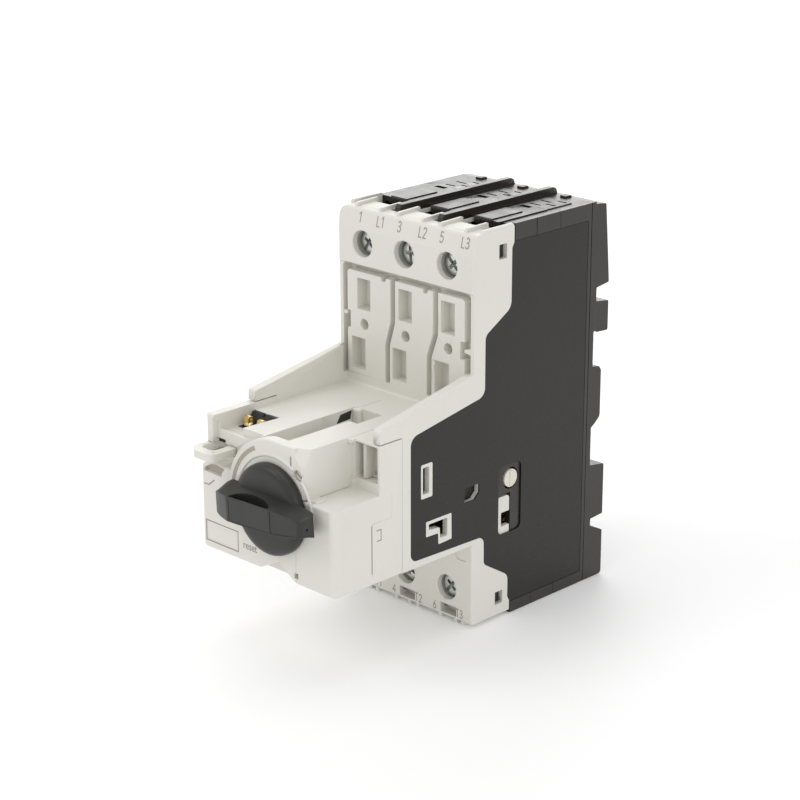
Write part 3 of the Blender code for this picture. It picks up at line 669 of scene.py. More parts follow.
# ---------------------------------------------------------------- dark base with the rail seat
def base_shell():
    y0 = Y_SPLIT + 0.06
    corners = [
        (y0, 0.0, 0), (0.0, 0.0, 0.8), (0.0, 12.0, 0.3), (-4.7, 14.3, 0.3), (-4.7, 16.2, 0.3), (0.0, 16.5, 0.3),
        (0.0, RAIL_LOW - 0.8, 0.5), (RAIL_FLOOR, RAIL_LOW, 0.4), (RAIL_FLOOR, 66.5, 0.4), (-4.2, 65.8, 0.3),
        (0.0, RAIL_HIGH, 0.5), (0.0, 73.2, 0.4), (-4.7, 73.8, 0.4), (-4.7, 77.3, 0.4), (0.0, 77.9, 0.4),
        (-1.8, 98.1, 0.5), (-4.8, Z_TOP, 0.5), (y0, Z_TOP, 0),
    ]
    back = fillet([(a, b) for a, b, r in corners], [r for a, b, r in corners])
    boss = fillet(
        [(-6.0, 41.0), (-5.3, 41.0), (-4.0, 41.8), (-2.3, 43.2), (-2.1, 44.0), (-2.1, 55.5), (-2.8, 56.6), (-6.0, 57.2)],
        [0, 0, 0.4, 0.4, 0.4, 0.4, 0.4, 0],
    )
    adds = [prism("X", back, -HALF_W, HALF_W)]
    adds += [prism("X", boss, 12.5 * s, HALF_W * s) for s in (-1, 1)]
    for s in (-1, 1):
        rib = fillet([(y0, 98.0), (-3.0, 98.0), (-3.6, 99.6), (-4.6, 100.1), (y0, 100.1)], [0, 0, 0.3, 0.5, 0])
        adds.append(prism("X", rib, s * RIB_X - RIB_HALF, s * RIB_X + RIB_HALF))
        if s > 0:
            adds.append(box(21.3, HALF_W, y0, -5.5, 98.0, 99.1))
        # foot flange beside each rib
        adds.append(box(s * RIB_X - 1.5, s * RIB_X + 1.5, y0, -5.6, 98.2, 98.85))
    for c in POLES:
        # raised vent field, and two lugs on the rear edge
        adds.append(box(c - 4.0, c + 3.9, y0, -9.6, 98.3, 98.75))
        adds.append(prism("X", fillet([(-6.4, 98.2), (-3.9, 98.2), (-4.3, 99.0), (-6.4, 99.0)], [0, 0, 0.3, 0.2]), c - 2.6, c - 0.8))
    cuts = skin_beds()
    cuts.append(box(-20.6, 20.6, Y_SPLIT - 1, -7.6, 1.8, 96.8))
    for c in POLES:
        cuts += [rbox("Z", c - 3.2, c + 0.1, y - 0.35, y + 0.35, 95.0, 101.0, 0.15) for y in (-12.8, -16.8)]
        cuts += [rbox("Z", c + 0.3, c + 3.2, y - 0.35, y + 0.35, 95.0, 101.0, 0.15) for y in (-10.6, -14.8)]
    cuts.append(box(-9.3, 9.3, -4.5, 1.0, 8.1, 36.0))
    cuts.append(box(3.9, 9.3, -4.5, 1.0, -1.0, 12.0))
    cuts.append(box(-2.4, 2.4, -4.5, 1.0, 4.6, 12.0))
    # shallow grooves across the back between the poles, and moulded steps on the sides
    cuts += [box(s * 7.05 - 0.35, s * 7.05 + 0.35, -0.5, 1.0, 79.5, 96.0) for s in (-1, 1)]
    cuts += [box(-HALF_W + 1.5, HALF_W - 1.5, -0.35, 1.0, 69.2, 69.8)]
    for s in (-1, 1):
        x0, x1 = sorted((s * (HALF_W - 0.16), s * 24.0))
        cuts.append(box(x0, x1, -7.25, -7.0, -1.0, 100.0))
    return carve("base_shell", adds, cuts, DARK, nodes=("rear_base",), slot="dark_plastic", bevel=0.16, crisp=(("Y", y0),))


def chamber_shell():
    y0, y1 = Y_COVER + 0.2, Y_SPLIT - 0.06
    adds = [box(-HALF_W, HALF_W, y0, y1, 0.0, 98.5)]
    for s in (-1, 1):
        rib = fillet([(RIB_FRONT, 96.6), (y1, 96.6), (y1, 100.1), (RIB_FRONT + 0.6, 100.1), (RIB_FRONT, 99.3)], [0, 0, 0, 0.6, 0.6])
        adds.append(prism("X", rib, s * RIB_X - RIB_HALF, s * RIB_X + RIB_HALF))
        if s > 0:
            adds.append(box(21.3, HALF_W, y0, y1, 98.0, 99.1))
        adds.append(box(s * RIB_X - 1.5, s * RIB_X + 1.5, y0, y1, 97.9, 98.75))
    for c in POLES:
        plate = fillet([(c - 4.0, -36.0), (c + 4.1, -36.0), (c + 4.1, y1), (c - 4.0, y1)], [0.5, 0.5, 0, 0])
        adds.append(prism("Z", plate, 97.3, 98.8))
        rise = fillet([(-36.1, 98.5), (-24.6, 98.5), (-24.9, 99.05), (-35.6, 99.05)], [0, 0, 0.2, 0.3])
        adds.append(prism("X", rise, c - 3.6, c + 1.6))
    adds.append(box(20.95, 22.05, -39.5, y0 + 1, 31.8, 39.4))
    cuts = skin_beds()
    for c in POLES:
        half = 6.2 if c == 0 else 6.3
        cuts.append(box(c - half, c + half, y0 - 0.5, y1 + 0.5, 1.7, 97.2))
        cuts.append(rbox("Z", c - 3.4, c, -20.9, -19.2, 96.0, 100.0, 0.2))
        cuts.append(rbox("Z", c + 0.4, c + 3.3, -18.95, -18.2, 96.0, 100.0, 0.1))
    cuts.append(cyl("X", -34.9, 35.5, 2.75, 19.0, 23.0, 40))
    cuts += [box(x0, x1, -27.4, -27.1, -1, 100) for x0, x1 in ((-24.0, -22.4), (22.4, 24.0))]
    return carve("chamber_shell", adds, cuts, DARK, nodes=("arc_housing",), slot="dark_plastic", bevel=0.14, crisp=(("Y", y1), ("Y", Y_SPLIT - 0.06)))


# ---------------------------------------------------------------- terminal cover
def terminal_cover():
    yb = Y_COVER - 0.1
    corners = [
        (yb, Z_COVER_BOTTOM, 0), (Y_TERM_LO, Z_COVER_BOTTOM, 0.6), (Y_TERM_LO, 22.0, 0.2), (Y_NOSE + 0.02, 22.0, 0.0),
        (Y_NOSE + 0.02, Z_FLOOR, 0), (Y_PANEL, Z_FLOOR, 0.7), (Y_PANEL, 84.2, 0.15), (Y_TERM_UP, 84.75, 0.25),
        (Y_TERM_UP, 93.5, 2.0), (-48.1, Z_COVER_TOP, 0.9), (yb, Z_COVER_TOP, 0),
    ]
    profile = fillet([(a, b) for a, b, r in corners], [r for a, b, r in corners])
    right_wall = fillet(
        [(-48.0, 53.0), (-48.0, 65.15), (-50.0, 64.8), (-79.8, 59.0), (-79.8, 55.6), (Y_NOSE + 0.02, 55.6), (Y_NOSE + 0.02, 53.0)],
        [0, 0, 1.0, 1.2, 0, 0, 0],
    )
    left_wall = fillet(
        [(-48.0, 53.0), (-48.0, 63.6), (-49.0, 63.4), (-79.4, 58.4), (-79.4, 55.9), (Y_NOSE + 0.02, 55.9), (Y_NOSE + 0.02, 53.0)],
        [0, 0, 0.6, 0.7, 0, 0, 0],
    )
    adds = [
        prism("X", profile, -HALF_W, HALF_W),
        prism("X", right_wall, 20.5, HALF_W),
        prism("X", left_wall, -HALF_W, -20.1),
    ]
    for x in (-17.9, -12.9, -10.3, -3.5, 1.1, 3.9, 11.7, 17.0, 19.3):
        adds.append(prism("X", fillet([(-48.5, -0.1), (-43.5, -0.1), (-43.5, 1.6), (-48.5, 1.6)], [0.4, 0.4, 0, 0]), x - 0.5, x + 0.5))
    for c in POLES:
        for x0, x1 in ((c + 3.7, c + 4.35), (c - 4.4, c - 3.7)):
            fin = fillet([(-48.0, 96.9), (-39.8, 96.9), (-39.8, 99.45), (-47.0, 99.3)], [0, 0, 0.3, 0.5])
            adds.append(prism("X", fin, x0, x1))
        # soft crown on the entry pad, in front of the wire entry
        adds.append(levels("Z", [(rounded(c - 3.6, c + 3.6, -47.2, -41.3, 0.8), 98.2), (rounded(c - 3.3, c + 3.3, -46.4, -41.4, 0.8), 98.62)]))
    for s in (-1, 1):
        x0, x1 = sorted((s * 21.3, s * HALF_W))
        strip = fillet([(-47.2, 97.0), (yb, 97.0), (yb, 99.1), (-45.4, 99.1)], [0, 0, 0, 1.6])
        adds.append(prism("X", strip, x0, x1))
        for outline in (SLOT_RIM, ANGLE_RIM):
            x0, x1 = sorted((s * 21.9, s * (HALF_W - 0.06)))
            adds.append(prism("X", grown(outline, -0.1), x0, x1))
    beds = skin_beds()
    cuts = []
    cuts += [
        box(-20.9, 20.9, -47.2, Y_COVER + 1, 2.5, 24.0),
        box(-20.9, 20.9, -70.9, Y_COVER + 1, 23.6, CAM_CLEAR),
        box(-20.9, -5.4, -70.9, Y_COVER + 1, CAM_CLEAR - 0.1, 52.4), box(6.2, 20.9, -70.9, Y_COVER + 1, CAM_CLEAR - 0.1, 52.4),
        box(-5.5, 6.3, -60.2, Y_COVER + 1, CAM_CLEAR - 0.1, 52.4),
        box(-20.9, 20.9, -44.6, Y_COVER + 1, 24.0, 86.0),
        box(-20.9, 20.9, -47.7, Y_COVER + 1, 85.9, 97.3),
    ]
    for c in POLES:
        cuts.append(cyl("Y", c, SCREW_UP_Z, 3.3, -50.0, -46.0, 56))
        cuts.append(loft("Y", ring_points(c, SCREW_UP_Z, 3.75, 56), -49.75, ring_points(c, SCREW_UP_Z, 3.28, 56), -49.05))
        cuts.append(cyl("Y", c, SCREW_LO_Z, 3.2, -50.0, -46.0, 56))
        cuts.append(loft("Y", ring_points(c, SCREW_LO_Z, 3.65, 56), -49.3, ring_points(c, SCREW_LO_Z, 3.18, 56), -48.6))
        cuts.append(rbox("Y", c - 2.0, c + 3.4, 1.6, 4.1, -50.0, -46.0, 0.2))
        cuts.append(prism("Z", fillet([(c - 3.7, -40.6), (c - 2.4, -41.4), (c - 1.2, -40.9), (c, -41.3), (c + 1.2, -40.9), (c + 2.4, -41.4), (c + 3.7, -40.6), (c + 3.7, Y_COVER + 1), (c - 3.7, Y_COVER + 1)], [0.4, 0.6, 0.5, 0.5, 0.5, 0.6, 0.4, 0, 0]), 96.0, 102.0))
        cuts.append(box(c - 4.6, c + 4.6, -39.8, Y_COVER + 1, 96.0, 102.0))
        cuts.append(rbox("Z", c - 4.3, c + 4.3, -41.6, Y_COVER + 1, -2.0, 3.5, 0.5))
    for s in (-1, 1):
        cuts.append(prism("Z", rounded(s * RIB_X - 2.4, s * RIB_X + 2.4, -44.4, Y_COVER + 1, (0.5, 0.5, 0, 0)), 96.3, 102.0))
        x0, x1 = sorted((s * 18.7, s * 21.25))
        cuts.append(box(x0, x1, -42.5, Y_COVER + 1, 96.3, 102.0))
        x0, x1 = sorted((s * 20.0, s * 24.0))
        cuts.append(rbox("X", -40.4, -37.7, 91.3, 94.9, x0, x1, 0.2))
        cuts.append(rbox("X", -40.4, -37.7, 3.6, 7.0, x0, x1, 0.2))
        cuts += [prism("X", outline, x0, x1) for outline in (SLOT_HOLE, POCKET_HOLE, ANGLE_HOLE)]
    cuts.append(box(20.0, 24.0, -39.8, Y_COVER + 1, 31.3, 39.7))
    cuts.append(prism("X", fillet([(-38.1, 23.6), (Y_COVER + 1, 23.6), (Y_COVER + 1, 27.2), (-38.1, 27.2)], [0.25, 0, 0, 0.25]), 20.0, 24.0))
    cuts.append(edge_round("X", yb, 31.35, 1.0, 1, 1, 20.0, 24.0))
    front, deep = Y_PANEL - 1.5, Y_PANEL + 2.8
    # one frame groove with round corners, open at the bottom, and two bent grooves between the plates
    outer = fillet([(-21.4, 56.4), (-19.9, 56.4), (-19.9, 82.7), (19.4, 82.7), (19.4, 64.6), (21.4, 64.6), (21.4, 84.6), (-21.4, 84.6)],
                   [0.2, 0.2, 0.8, 0.8, 0.2, 0.2, 1.5, 1.5])
    cuts.append(prism("Y", outer, front, deep))
    for upper0, upper1, lower0, lower1 in ((-5.1, -3.5, -6.9, -5.3), (9.1, 10.8, 7.1, 8.7)):
        groove = fillet(
            [(lower0, 56.4), (lower1, 56.4), (lower1, 66.2), (upper1, 72.2), (upper1, 83.6), (upper0, 83.6), (upper0, 72.2), (lower0, 66.2)],
            [0.2, 0.2, 2.0, 2.0, 0, 0, 2.0, 2.0],
        )
        cuts.append(prism("Y", groove, front, deep))
    # side notches, each leaving its small hook
    hook_right = fillet([(18.0, 67.9), (20.2, 67.9), (20.2, 69.5), (19.6, 70.1), (20.2, 70.8), (20.2, 72.4), (18.0, 72.4)], [0.2, 0, 0.3, 0.3, 0.3, 0, 0.2])
    cuts.append(prism("Y", hook_right, front, deep))
    hook_left = fillet([(-18.9, 67.9), (-20.6, 67.9), (-20.6, 72.4), (-18.9, 72.4)], [0.2, 0, 0, 0.2])
    cuts.append(prism("Y", hook_left, front, deep))
    for c in POLES:
        cuts.append(rbox("Y", c - 2.4, c + 2.1, 73.2, 81.1, front, Y_PANEL + 3.2, 0.25))
        cuts.append(rbox("Y", c - 4.4, c + 0.3, 57.8, 65.9, front, Y_PANEL + 3.2, 0.25))
        cuts.append(cyl("Y", c, 69.6, 1.4, front, Y_PANEL + 2.5, 32))
    for x in (-7.5, 6.5):
        cuts.append(cyl("Y", x, 82.5, 0.85, front, deep, 24))
    cuts.append(box(-4.2, 5.0, -74.0, -61.6, 49.0, 58.0))
    cuts.append(cyl("Y", KNOB_X, KNOB_Z, 3.4, -74.0, -70.0, 32))
    # soft outer corners, seen from the front
    cuts.append(edge_round("Y", -HALF_W, Z_COVER_TOP + 0.05, 2.2, -1, 1, -52.0, -44.8))
    cuts.append(edge_round("Y", HALF_W, 99.15, 0.9, 1, 1, -52.0, -34.0))
    cuts.append(edge_round("Y", -HALF_W, 99.15, 0.9, -1, 1, -52.0, -34.0))
    cuts.append(edge_round("Z", HALF_W, Y_TERM_UP, 0.7, 1, -1, 65.9, 100.0))
    cuts.append(edge_round("Z", -HALF_W, Y_TERM_UP, 0.7, -1, -1, 64.3, 100.0))
    cuts.append(edge_round("Z", HALF_W, Y_TERM_LO, 0.5, 1, -1, -1.0, 21.9))
    cuts.append(edge_round("Z", -HALF_W, Y_TERM_LO, 0.5, -1, -1, -1.0, 21.9))
    # seam with the control housing on both flanks, and a shallow rounded pocket at the right of the lower terminal face
    for s in (-1, 1):
        x0, x1 = sorted((s * (HALF_W - 0.12), s * 24.0))
        cuts.append(box(x0, x1, Y_NOSE - 0.1, Y_NOSE + 0.12, 20.0, 55.4))
    cuts.append(rbox("Y", 17.0, 21.0, 17.0, 21.5, -50.0, Y_TERM_LO + 0.25, 1.0))
    # slot edge beside the plug channel
    cuts.append(box(-3.2, -3.0, -60.7, -54.0, 53.8, 56.0))
    rims = [prism("X", grown(o, -0.1), *sorted((s * 21.9, s * (HALF_W - 0.06)))) for s in (-1, 1) for o in (SLOT_RIM, ANGLE_RIM)]
    bodied = [a for a in adds if a not in rims]
    return carve_two("terminal_cover", bodied, beds, rims, cuts, LIGHT, nodes=("front_cover",), slot="light_plastic", bevel=0.2,
                     crisp=(("Y", Y_NOSE + 0.02), ("Y", yb)))


def carve_two(name, adds, first_cuts, later_adds, cuts, mat, **options):
    """carve(), with some solids added after a first set of cuts."""
    base = loose(adds[0])
    groups = [boolean(base, [loose(s) for s in adds[1:]], "UNION"), boolean(base, [loose(s) for s in first_cuts], "DIFFERENCE")]
    mesh = evaluated(base)
    for group in groups:
        for obj in list(group.objects):
            bpy.data.objects.remove(obj, do_unlink=True)
        bpy.data.collections.remove(group)
    bpy.data.objects.remove(base, do_unlink=True)
    verts = [(v.co.x / MM - DATUM[0], v.co.y / MM - DATUM[1], v.co.z / MM - DATUM[2]) for v in mesh.vertices]
    faces = [tuple(p.vertices) for p in mesh.polygons]
    bpy.data.meshes.remove(mesh)
    return carve(name, [(verts, faces)] + later_adds, cuts, mat, **options)


# ---------------------------------------------------------------- side skins
def side_skin(name, s, node):
    windows = [prism("X", o, s * 20.0, s * 24.0) for o in (SLOT_RIM, POCKET_HOLE, ANGLE_RIM, CUTOUT)]
    x0, x1 = sorted((s * (HALF_W - 0.05 - SKIN), s * (HALF_W - 0.05)))
    return carve(name, [prism("X", SKIN_OUTLINE, x0, x1)], windows, FOIL, nodes=(node,), slot="black_foil", bevel=0.1)


# ---------------------------------------------------------------- control housing
def nose_shell():
    yn = Y_NOSE
    adds = [
        box(-HALF_W, HALF_W, Y_FACE, yn, Z_NOSE_BOTTOM, Z_SHELF),
        box(-HALF_W, 13.2, Y_FACE, yn, 43.0, Z_FLOOR),
        box(5.0, 13.2, Y_FACE, yn, 53.0, 55.4),
        box(13.0, HALF_W, -79.9, yn, 43.0, 55.3),
        box(-HALF_W, -20.0, -92.9, yn, 44.8, 55.6),
    ]
    # raised pad and rim on the auxiliary shelf
    adds.append(prism("Z", fillet([(13.0, -93.5), (16.3, -93.5), (16.3, -90.2), (13.0, -90.2)], [0, 0.5, 0.5, 0]), 43.0, 43.7))
    adds.append(box(13.0, 14.4, -80.6, -79.5, 43.2, 45.6))
    adds.append(box(13.0, 14.6, -81.0, -79.5, 54.4, 55.3))
    cuts = [
        box(-20.9, 20.9, -89.9, yn + 1, 23.8, 41.9),
        box(-4.2, 5.0, -93.0, yn + 1, 49.0, 58.0),
        prism("Z", fillet([(-20.0, -90.6), (-11.9, -90.6), (-11.1, -79.7), (-20.0, -79.7)], 0.3), 51.3, 58.0),
        prism("Z", fillet([(-19.7, -85.7), (-11.6, -85.7), (-11.2, -79.75), (-19.7, -79.75)], 0.2), 49.8, 58.0),
        prism("Y", fillet([(-19.7, 52.0), (-8.9, 52.0), (-4.4, 54.1), (-4.4, 58.0), (-19.7, 58.0)], [0.3, 1.0, 0.5, 0, 0]), -93.0, -90.45),
        box(-22.25, -13.3, -93.0, -77.6, 46.8, 49.0),
        box(-20.2, -17.2, -93.0, -90.6, 48.6, 49.95),
        rbox("Y", 14.6, 21.9, 46.0, 54.8, -81.0, -74.4, 0.4),
        cyl("Y", KNOB_X, KNOB_Z, 3.4, -93.0, -88.0, 32),
        cyl("Y", 10.9, 49.1, 1.5, -93.0, -86.8, 32),
        box(-20.9, 3.5, -89.9, yn + 1, 41.0, 44.6),
    ]
    # slit and small catch where the upper block ends, and the line between block and shelf
    cuts.append(box(12.75, 14.2, -79.62, -79.2, 44.6, 54.6))
    cuts.append(box(12.95, 13.35, -93.0, -79.9, 43.25, 43.4))
    # front edges of the left wall
    cuts.append(edge_round("Z", -HALF_W, -92.9, 0.9, -1, -1, 44.6, 57.0))
    cuts.append(edge_round("X", -92.9, 55.6, 0.7, -1, 1, -24.0, -19.9))
    # flank lines
    cuts.append(box(HALF_W - 0.12, 24.0, -82.55, -82.35, 24.7, 36.5))
    cuts.append(box(HALF_W - 0.06, 24.0, -82.1, -76.0, 37.05, 37.2))
    cuts.append(box(HALF_W - 0.05, 24.0, -76.08, -75.92, 37.0, 43.0))
    for s in (-1, 1):
        x0, x1 = sorted((s * (HALF_W - 0.12), s * 24.0))
        cuts.append(box(x0, x1, yn - 0.1, yn + 1.0, 20.0, 55.8 if s < 0 else 55.2))
    shell = carve("nose_shell", adds, cuts, LIGHT, nodes=("control_housing",), slot="light_plastic", bevel=0.2,
                  crisp=(("Y", Y_FACE), ("Y", yn)))
    return shell


BOSS_R = 16.3


def rings_like(points, radii, other):
    """The rounded outline with as many points as the other outline, spread over its corners in the same order."""
    coarse = fillet(points, radii, 90.0)
    fine = [coarse[0], coarse[1]]
    spare = len(other) - 3
    corners = coarse[2:-1]
    for i in range(spare):
        t = i / (spare - 1) * (len(corners) - 1)
        k = min(int(t), len(corners) - 2)
        a, b = corners[k], corners[k + 1]
        fine.append((a[0] + (b[0] - a[0]) * (t - k), a[1] + (b[1] - a[1]) * (t - k)))
    return fine + [coarse[-1]]


def escutcheon():
    """Front plate with the round boss, the label frame and the block that carries the test screw."""
    arc = arc_points(KNOB_X, KNOB_Z, BOSS_R, 97, 162, 20)
    corners = [(-22.5, 22.6, 0.9), (-2.5, 22.7, 1.2), (3.8, 26.0, 0.5), (8.9, 22.6, 0.7), (9.85, 22.4, 0.0), (9.85, 55.35, 0.0), (5.2, 55.35, 0.0)]
    corners += [(a, b, 0.0) for a, b in arc] + [(-13.9, 44.6, 0.9), (-20.9, 44.6, 0.9), (-22.5, 43.4, 0.9)]

    def at(inset):
        moved = grown([(a, b) for a, b, r in corners], -inset)
        return fillet(moved, [r for a, b, r in corners])

    y1 = Y_FACE - 0.004
    adds = [levels("Y", [(at(0.35), Y_PLATE), (at(0.2), Y_PLATE + 0.05), (at(0.08), Y_PLATE + 0.16), (at(0.02), Y_PLATE + 0.3), (at(0.0), Y_PLATE + 0.5), (at(0.0), y1)])]
    front = [(5.0, 43.6), (12.3, 43.6), (12.3, 51.2), (8.3, 54.9), (5.0, 55.1)]
    middle = [(5.0, 43.6), (12.95, 43.6), (12.95, 52.2), (9.6, 55.3), (5.0, 55.35)]
    behind = [(5.0, 43.6), (13.2, 43.6), (13.2, 55.1), (12.9, 55.4), (5.0, 55.4)]
    radii, hind = [0, 0, 2.0, 2.0, 0], [0, 0, 0.15, 0.15, 0]
    adds.append(levels("Y", [
        (fillet(front, radii, 12.0), Y_PLATE), (fillet(middle, radii, 12.0), Y_PLATE + 0.9), (rings_like(behind, hind, fillet(middle, radii, 12.0)), -92.3), (rings_like(behind, hind, fillet(middle, radii, 12.0)), y1),
    ]))
    cuts = [
        prism("Y", fillet([(-21.9, 42.0), (-15.5, 41.8), (-15.5, 42.7), (-14.2, 44.1), (-17.5, 44.45), (-19.5, 44.1), (-21.5, 43.0)], [0.2, 0.2, 0.2, 0.3, 0.4, 0.4, 0.3]), Y_PLATE - 1, Y_PLATE + 0.7),
        rbox("Y", -21.4, -10.4, 24.6, 29.3, Y_PLATE - 1, Y_PLATE + 0.12, 0.15),
        cyl("Y", KNOB_X, KNOB_Z, 3.4, -96.0, -90.0, 48),
        cyl("Y", 10.9, 49.1, 1.42, -96.0, -90.0, 36),
        box(9.2, 10.2, Y_PLATE - 1, Y_PLATE + 1.2, 23.6, 25.0),
    ]
    plate = carve("escutcheon", adds, cuts, LIGHT, nodes=("control_plate",), slot="light_plastic", bevel=0.16,
                  crisp=(("Y", y1),))
    return plate


def lower_block():
    y1 = Y_FACE - 0.004
    adds = [box(9.93, HALF_W, Y_PLATE, y1, Z_NOSE_BOTTOM, Z_SHELF)]
    cuts = [
        box(9.0, 10.6, Y_PLATE - 1, Y_PLATE + 1.2, 23.6, 25.0),
        edge_round("Z", HALF_W, Y_PLATE, 1.7, 1, -1, 20.0, 45.0, 10),
        edge_round("X", Y_PLATE, Z_SHELF, 0.7, -1, 1, 9.0, 24.0, 6),
        edge_round("X", Y_PLATE, Z_NOSE_BOTTOM, 0.5, -1, -1, 9.0, 24.0, 6),
        box(9.0, 13.25, -95.5, -90.0, 43.2, 45.0),
    ]
    return carve("lower_block", adds, cuts, LIGHT, nodes=("right_block",), slot="light_plastic", bevel=0.14, crisp=(("Y", y1),))


def aux_partition():
    adds = [
        box(14.75, 21.75, -76.2, -74.6, 46.15, 54.65), box(16.6, 17.6, -79.2, -75.5, 46.15, 54.65),
        box(14.75, 21.75, -77.2, -75.5, 46.15, 46.7),
    ]
    # painted shade: the partition behind the window takes the darker copy of the shell plastic
    return carve("aux_partition", adds, [], LIGHT_SHADED, nodes=("aux_window",), slot="light_plastic", bevel=0.12)


def dial_rim():
    n = 128
    profile = [(13.2, -94.44), (13.12, -94.62), (12.95, -94.76), (12.7, -94.82), (12.45, -94.76), (12.28, -94.62), (12.2, -94.44)]
    verts, faces = [], []
    for r, t in profile:
        verts += [place("Y", a, b, t) for a, b in ring_points(KNOB_X, KNOB_Z, r, n)]
    m = len(profile)
    for k in range(m):
        for i in range(n):
            a, b = k * n + i, k * n + (i + 1) % n
            c, d = ((k + 1) % m) * n + (i + 1) % n, ((k + 1) % m) * n + i
            faces.append((a, b, c, d))
    cuts = [cyl("Y", 10.9, 49.1, 1.9, -97.0, -93.0, 40), box(-20.0, 30.0, -97.0, -93.0, 10.0, 38.5)]
    return carve("dial_rim", [(verts, faces)], cuts, LIGHT, nodes=("dial_ring",), slot="light_plastic", bevel=0.05, angle=50)


# ---------------------------------------------------------------- knob
BAR_SECTIONS = [
    # x, half base, half front, y base, y front (all from the knob's axis)
    (-14.5, 2.6, 2.1, -98.2, -99.4),
    (-14.2, 3.2, 2.5, -97.9, -99.95),
    (-13.0, 4.4, 2.85, -97.1, -100.45),
    (-11.6, 5.15, 2.95, -96.7, -100.95),
    (-8.4, 5.05, 3.0, -96.6, -102.0),
    (-4.0, 4.9, 3.0, -96.5, -102.05),
    (0.5, 4.65, 3.0, -96.5, -102.05),
    (6.0, 4.15, 2.95, -96.5, -102.0),
    (10.5, 3.7, 2.6, -96.6, -101.8),
    (15.2, 3.0, 2.1, -96.8, -101.55),
    (15.8, 2.9, 1.95, -97.0, -101.1),
    (16.1, 2.75, 1.85, -97.2, -100.7),
]


def knob_body():
    disc = turned("Y", KNOB_X, KNOB_Z, [
        (10.8, -94.62), (11.05, -94.85), (11.12, -95.4), (11.06, -96.1), (10.92, -96.6), (10.66, -97.0), (10.28, -97.32),
        (9.8, -97.52), (9.1, -97.64), (8.0, -97.68), (5.0, -97.7), (0.6, -97.7),
    ], 120)
    c, s = math.cos(KNOB_TILT), math.sin(KNOB_TILT)
    verts, faces = [], []
    ring = 6
    for x, wb, wf, yb, yf in BAR_SECTIONS:
        mid = yb + (yf - yb) * 0.45
        wm = wf + (wb - wf) * 0.42
        for y, z in ((yb, -wb), (mid, -wm), (yf, -wf), (yf, wf), (mid, wm), (yb, wb)):
            verts.append((KNOB_X + x * c - z * s, y, KNOB_Z + x * s + z * c))
    for k in range(len(BAR_SECTIONS) - 1):
        for i in range(ring):
            a, b = k * ring + i, k * ring + (i + 1) % ring
            faces.append((a, b, b + ring, a + ring))
    faces.append(tuple(range(ring)))
    last = (len(BAR_SECTIONS) - 1) * ring
    faces.append(tuple(range(last, last + ring)))

    def at(points):
        return [(KNOB_X + x * c - z * s, KNOB_Z + x * s + z * c) for x, z in points]

    # finger scoops in the upper and lower flanks of the left half, behind a thin front lip
    cuts = []
    for side in (1, -1):
        outline = fillet([(-8.2, -101.72), (6.0, -101.72), (4.9, -100.3), (2.4, -99.2), (-0.6, -98.75), (-3.9, -98.75), (-6.8, -99.9)],
                         [0.1, 0.3, 1.0, 2.0, 3.0, 3.0, 2.0], 9.0)
        sections = []
        for z, size in ((0.9, 1.03), (2.0, 1.0), (3.0, 0.98), (5.8, 0.98)):
            ring_at = [(-0.8 + (x + 0.8) * size, -101.72 + (y + 101.72) * size) for x, y in outline]
            sections.append(([(KNOB_X + x * c - side * z * s, y) for x, y in ring_at], KNOB_Z + side * z))
        cuts.append(levels("Z", sections))
    # two shallow fields on the front face, a narrow divider between them
    for field, depth in (([(-7.6, -2.75), (5.9, -2.7), (5.9, 2.7), (-7.6, 2.75)], 0.07), ([(6.5, -2.65), (10.4, -2.35), (14.7, -1.85), (14.7, 1.85), (10.4, 2.35), (6.5, 2.65)], 0.12)):
        flat = fillet(field, 0.25)
        ring_of = len(flat)
        front = [(KNOB_X + x * c - z * s, -103.0, KNOB_Z + x * s + z * c) for x, z in flat]
        floor_at = [(KNOB_X + x * c - z * s, np.interp(x, (-8.4, -4.0, 0.5, 6.0, 10.5, 15.2), (-102.0, -102.05, -102.05, -102.0, -101.8, -101.55)) + depth, KNOB_Z + x * s + z * c) for x, z in flat]
        sides = [(i, (i + 1) % ring_of, ring_of + (i + 1) % ring_of, ring_of + i) for i in range(ring_of)]
        cuts.append((front + [(a, float(b), d) for a, b, d in floor_at], [tuple(range(ring_of)), tuple(range(ring_of, 2 * ring_of))] + sides))
    cuts.append(cyl("X", -99.3, 39.7, 0.3, KNOB_X + 15.7, KNOB_X + 17.0, 16))
    cuts.append(cyl("Y", KNOB_X, KNOB_Z, 2.6, -95.6, -94.0, 32))
    return carve("knob_body", [disc, (verts, faces)], cuts, KNOB, body="handle", nodes=("knob",), slot="knob_plastic", bevel=0.16, segments=2, angle=20)


# ---------------------------------------------------------------- small controls
def tongue():
    outline = fillet([(-22.1, -84.0), (-22.1, -99.1), (-13.6, -99.1), (-13.6, -84.0)], [0, 3.5, 1.6, 0], 8)
    hole = fillet([(-20.4, -96.6), (-15.9, -96.6), (-15.9, -89.7), (-20.4, -89.7)], 1.35, 10)
    cuts = [prism("Z", hole, 40.0, 50.0), cyl("Z", -14.9, -97.3, 0.45, 48.65, 50.0, 24)]
    return carve("tongue", [prism("Z", outline, 46.95, 48.8)], cuts, LIGHT, body="lock_tongue", nodes=("lock_tab",), slot="light_plastic", bevel=0.4, segments=3)


def push():
    adds = [turned("Y", 10.9, 49.1, [(1.22, -88.4), (1.22, -93.6), (1.14, -93.85), (0.95, -93.95)], 48)]
    slot = stroke([(10.9 - 1.6, 49.1 + 0.9), (10.9 + 1.6, 49.1 - 0.9)], 0.42)
    cross = [prism("Y", slot, -96.0, -93.4)]
    # painted shade: the recessed test push takes the darker copy of the shell plastic
    return carve("push", adds, cross, LIGHT_SHADED, body="test_push", nodes=("test_button",), slot="light_plastic", bevel=0.06)


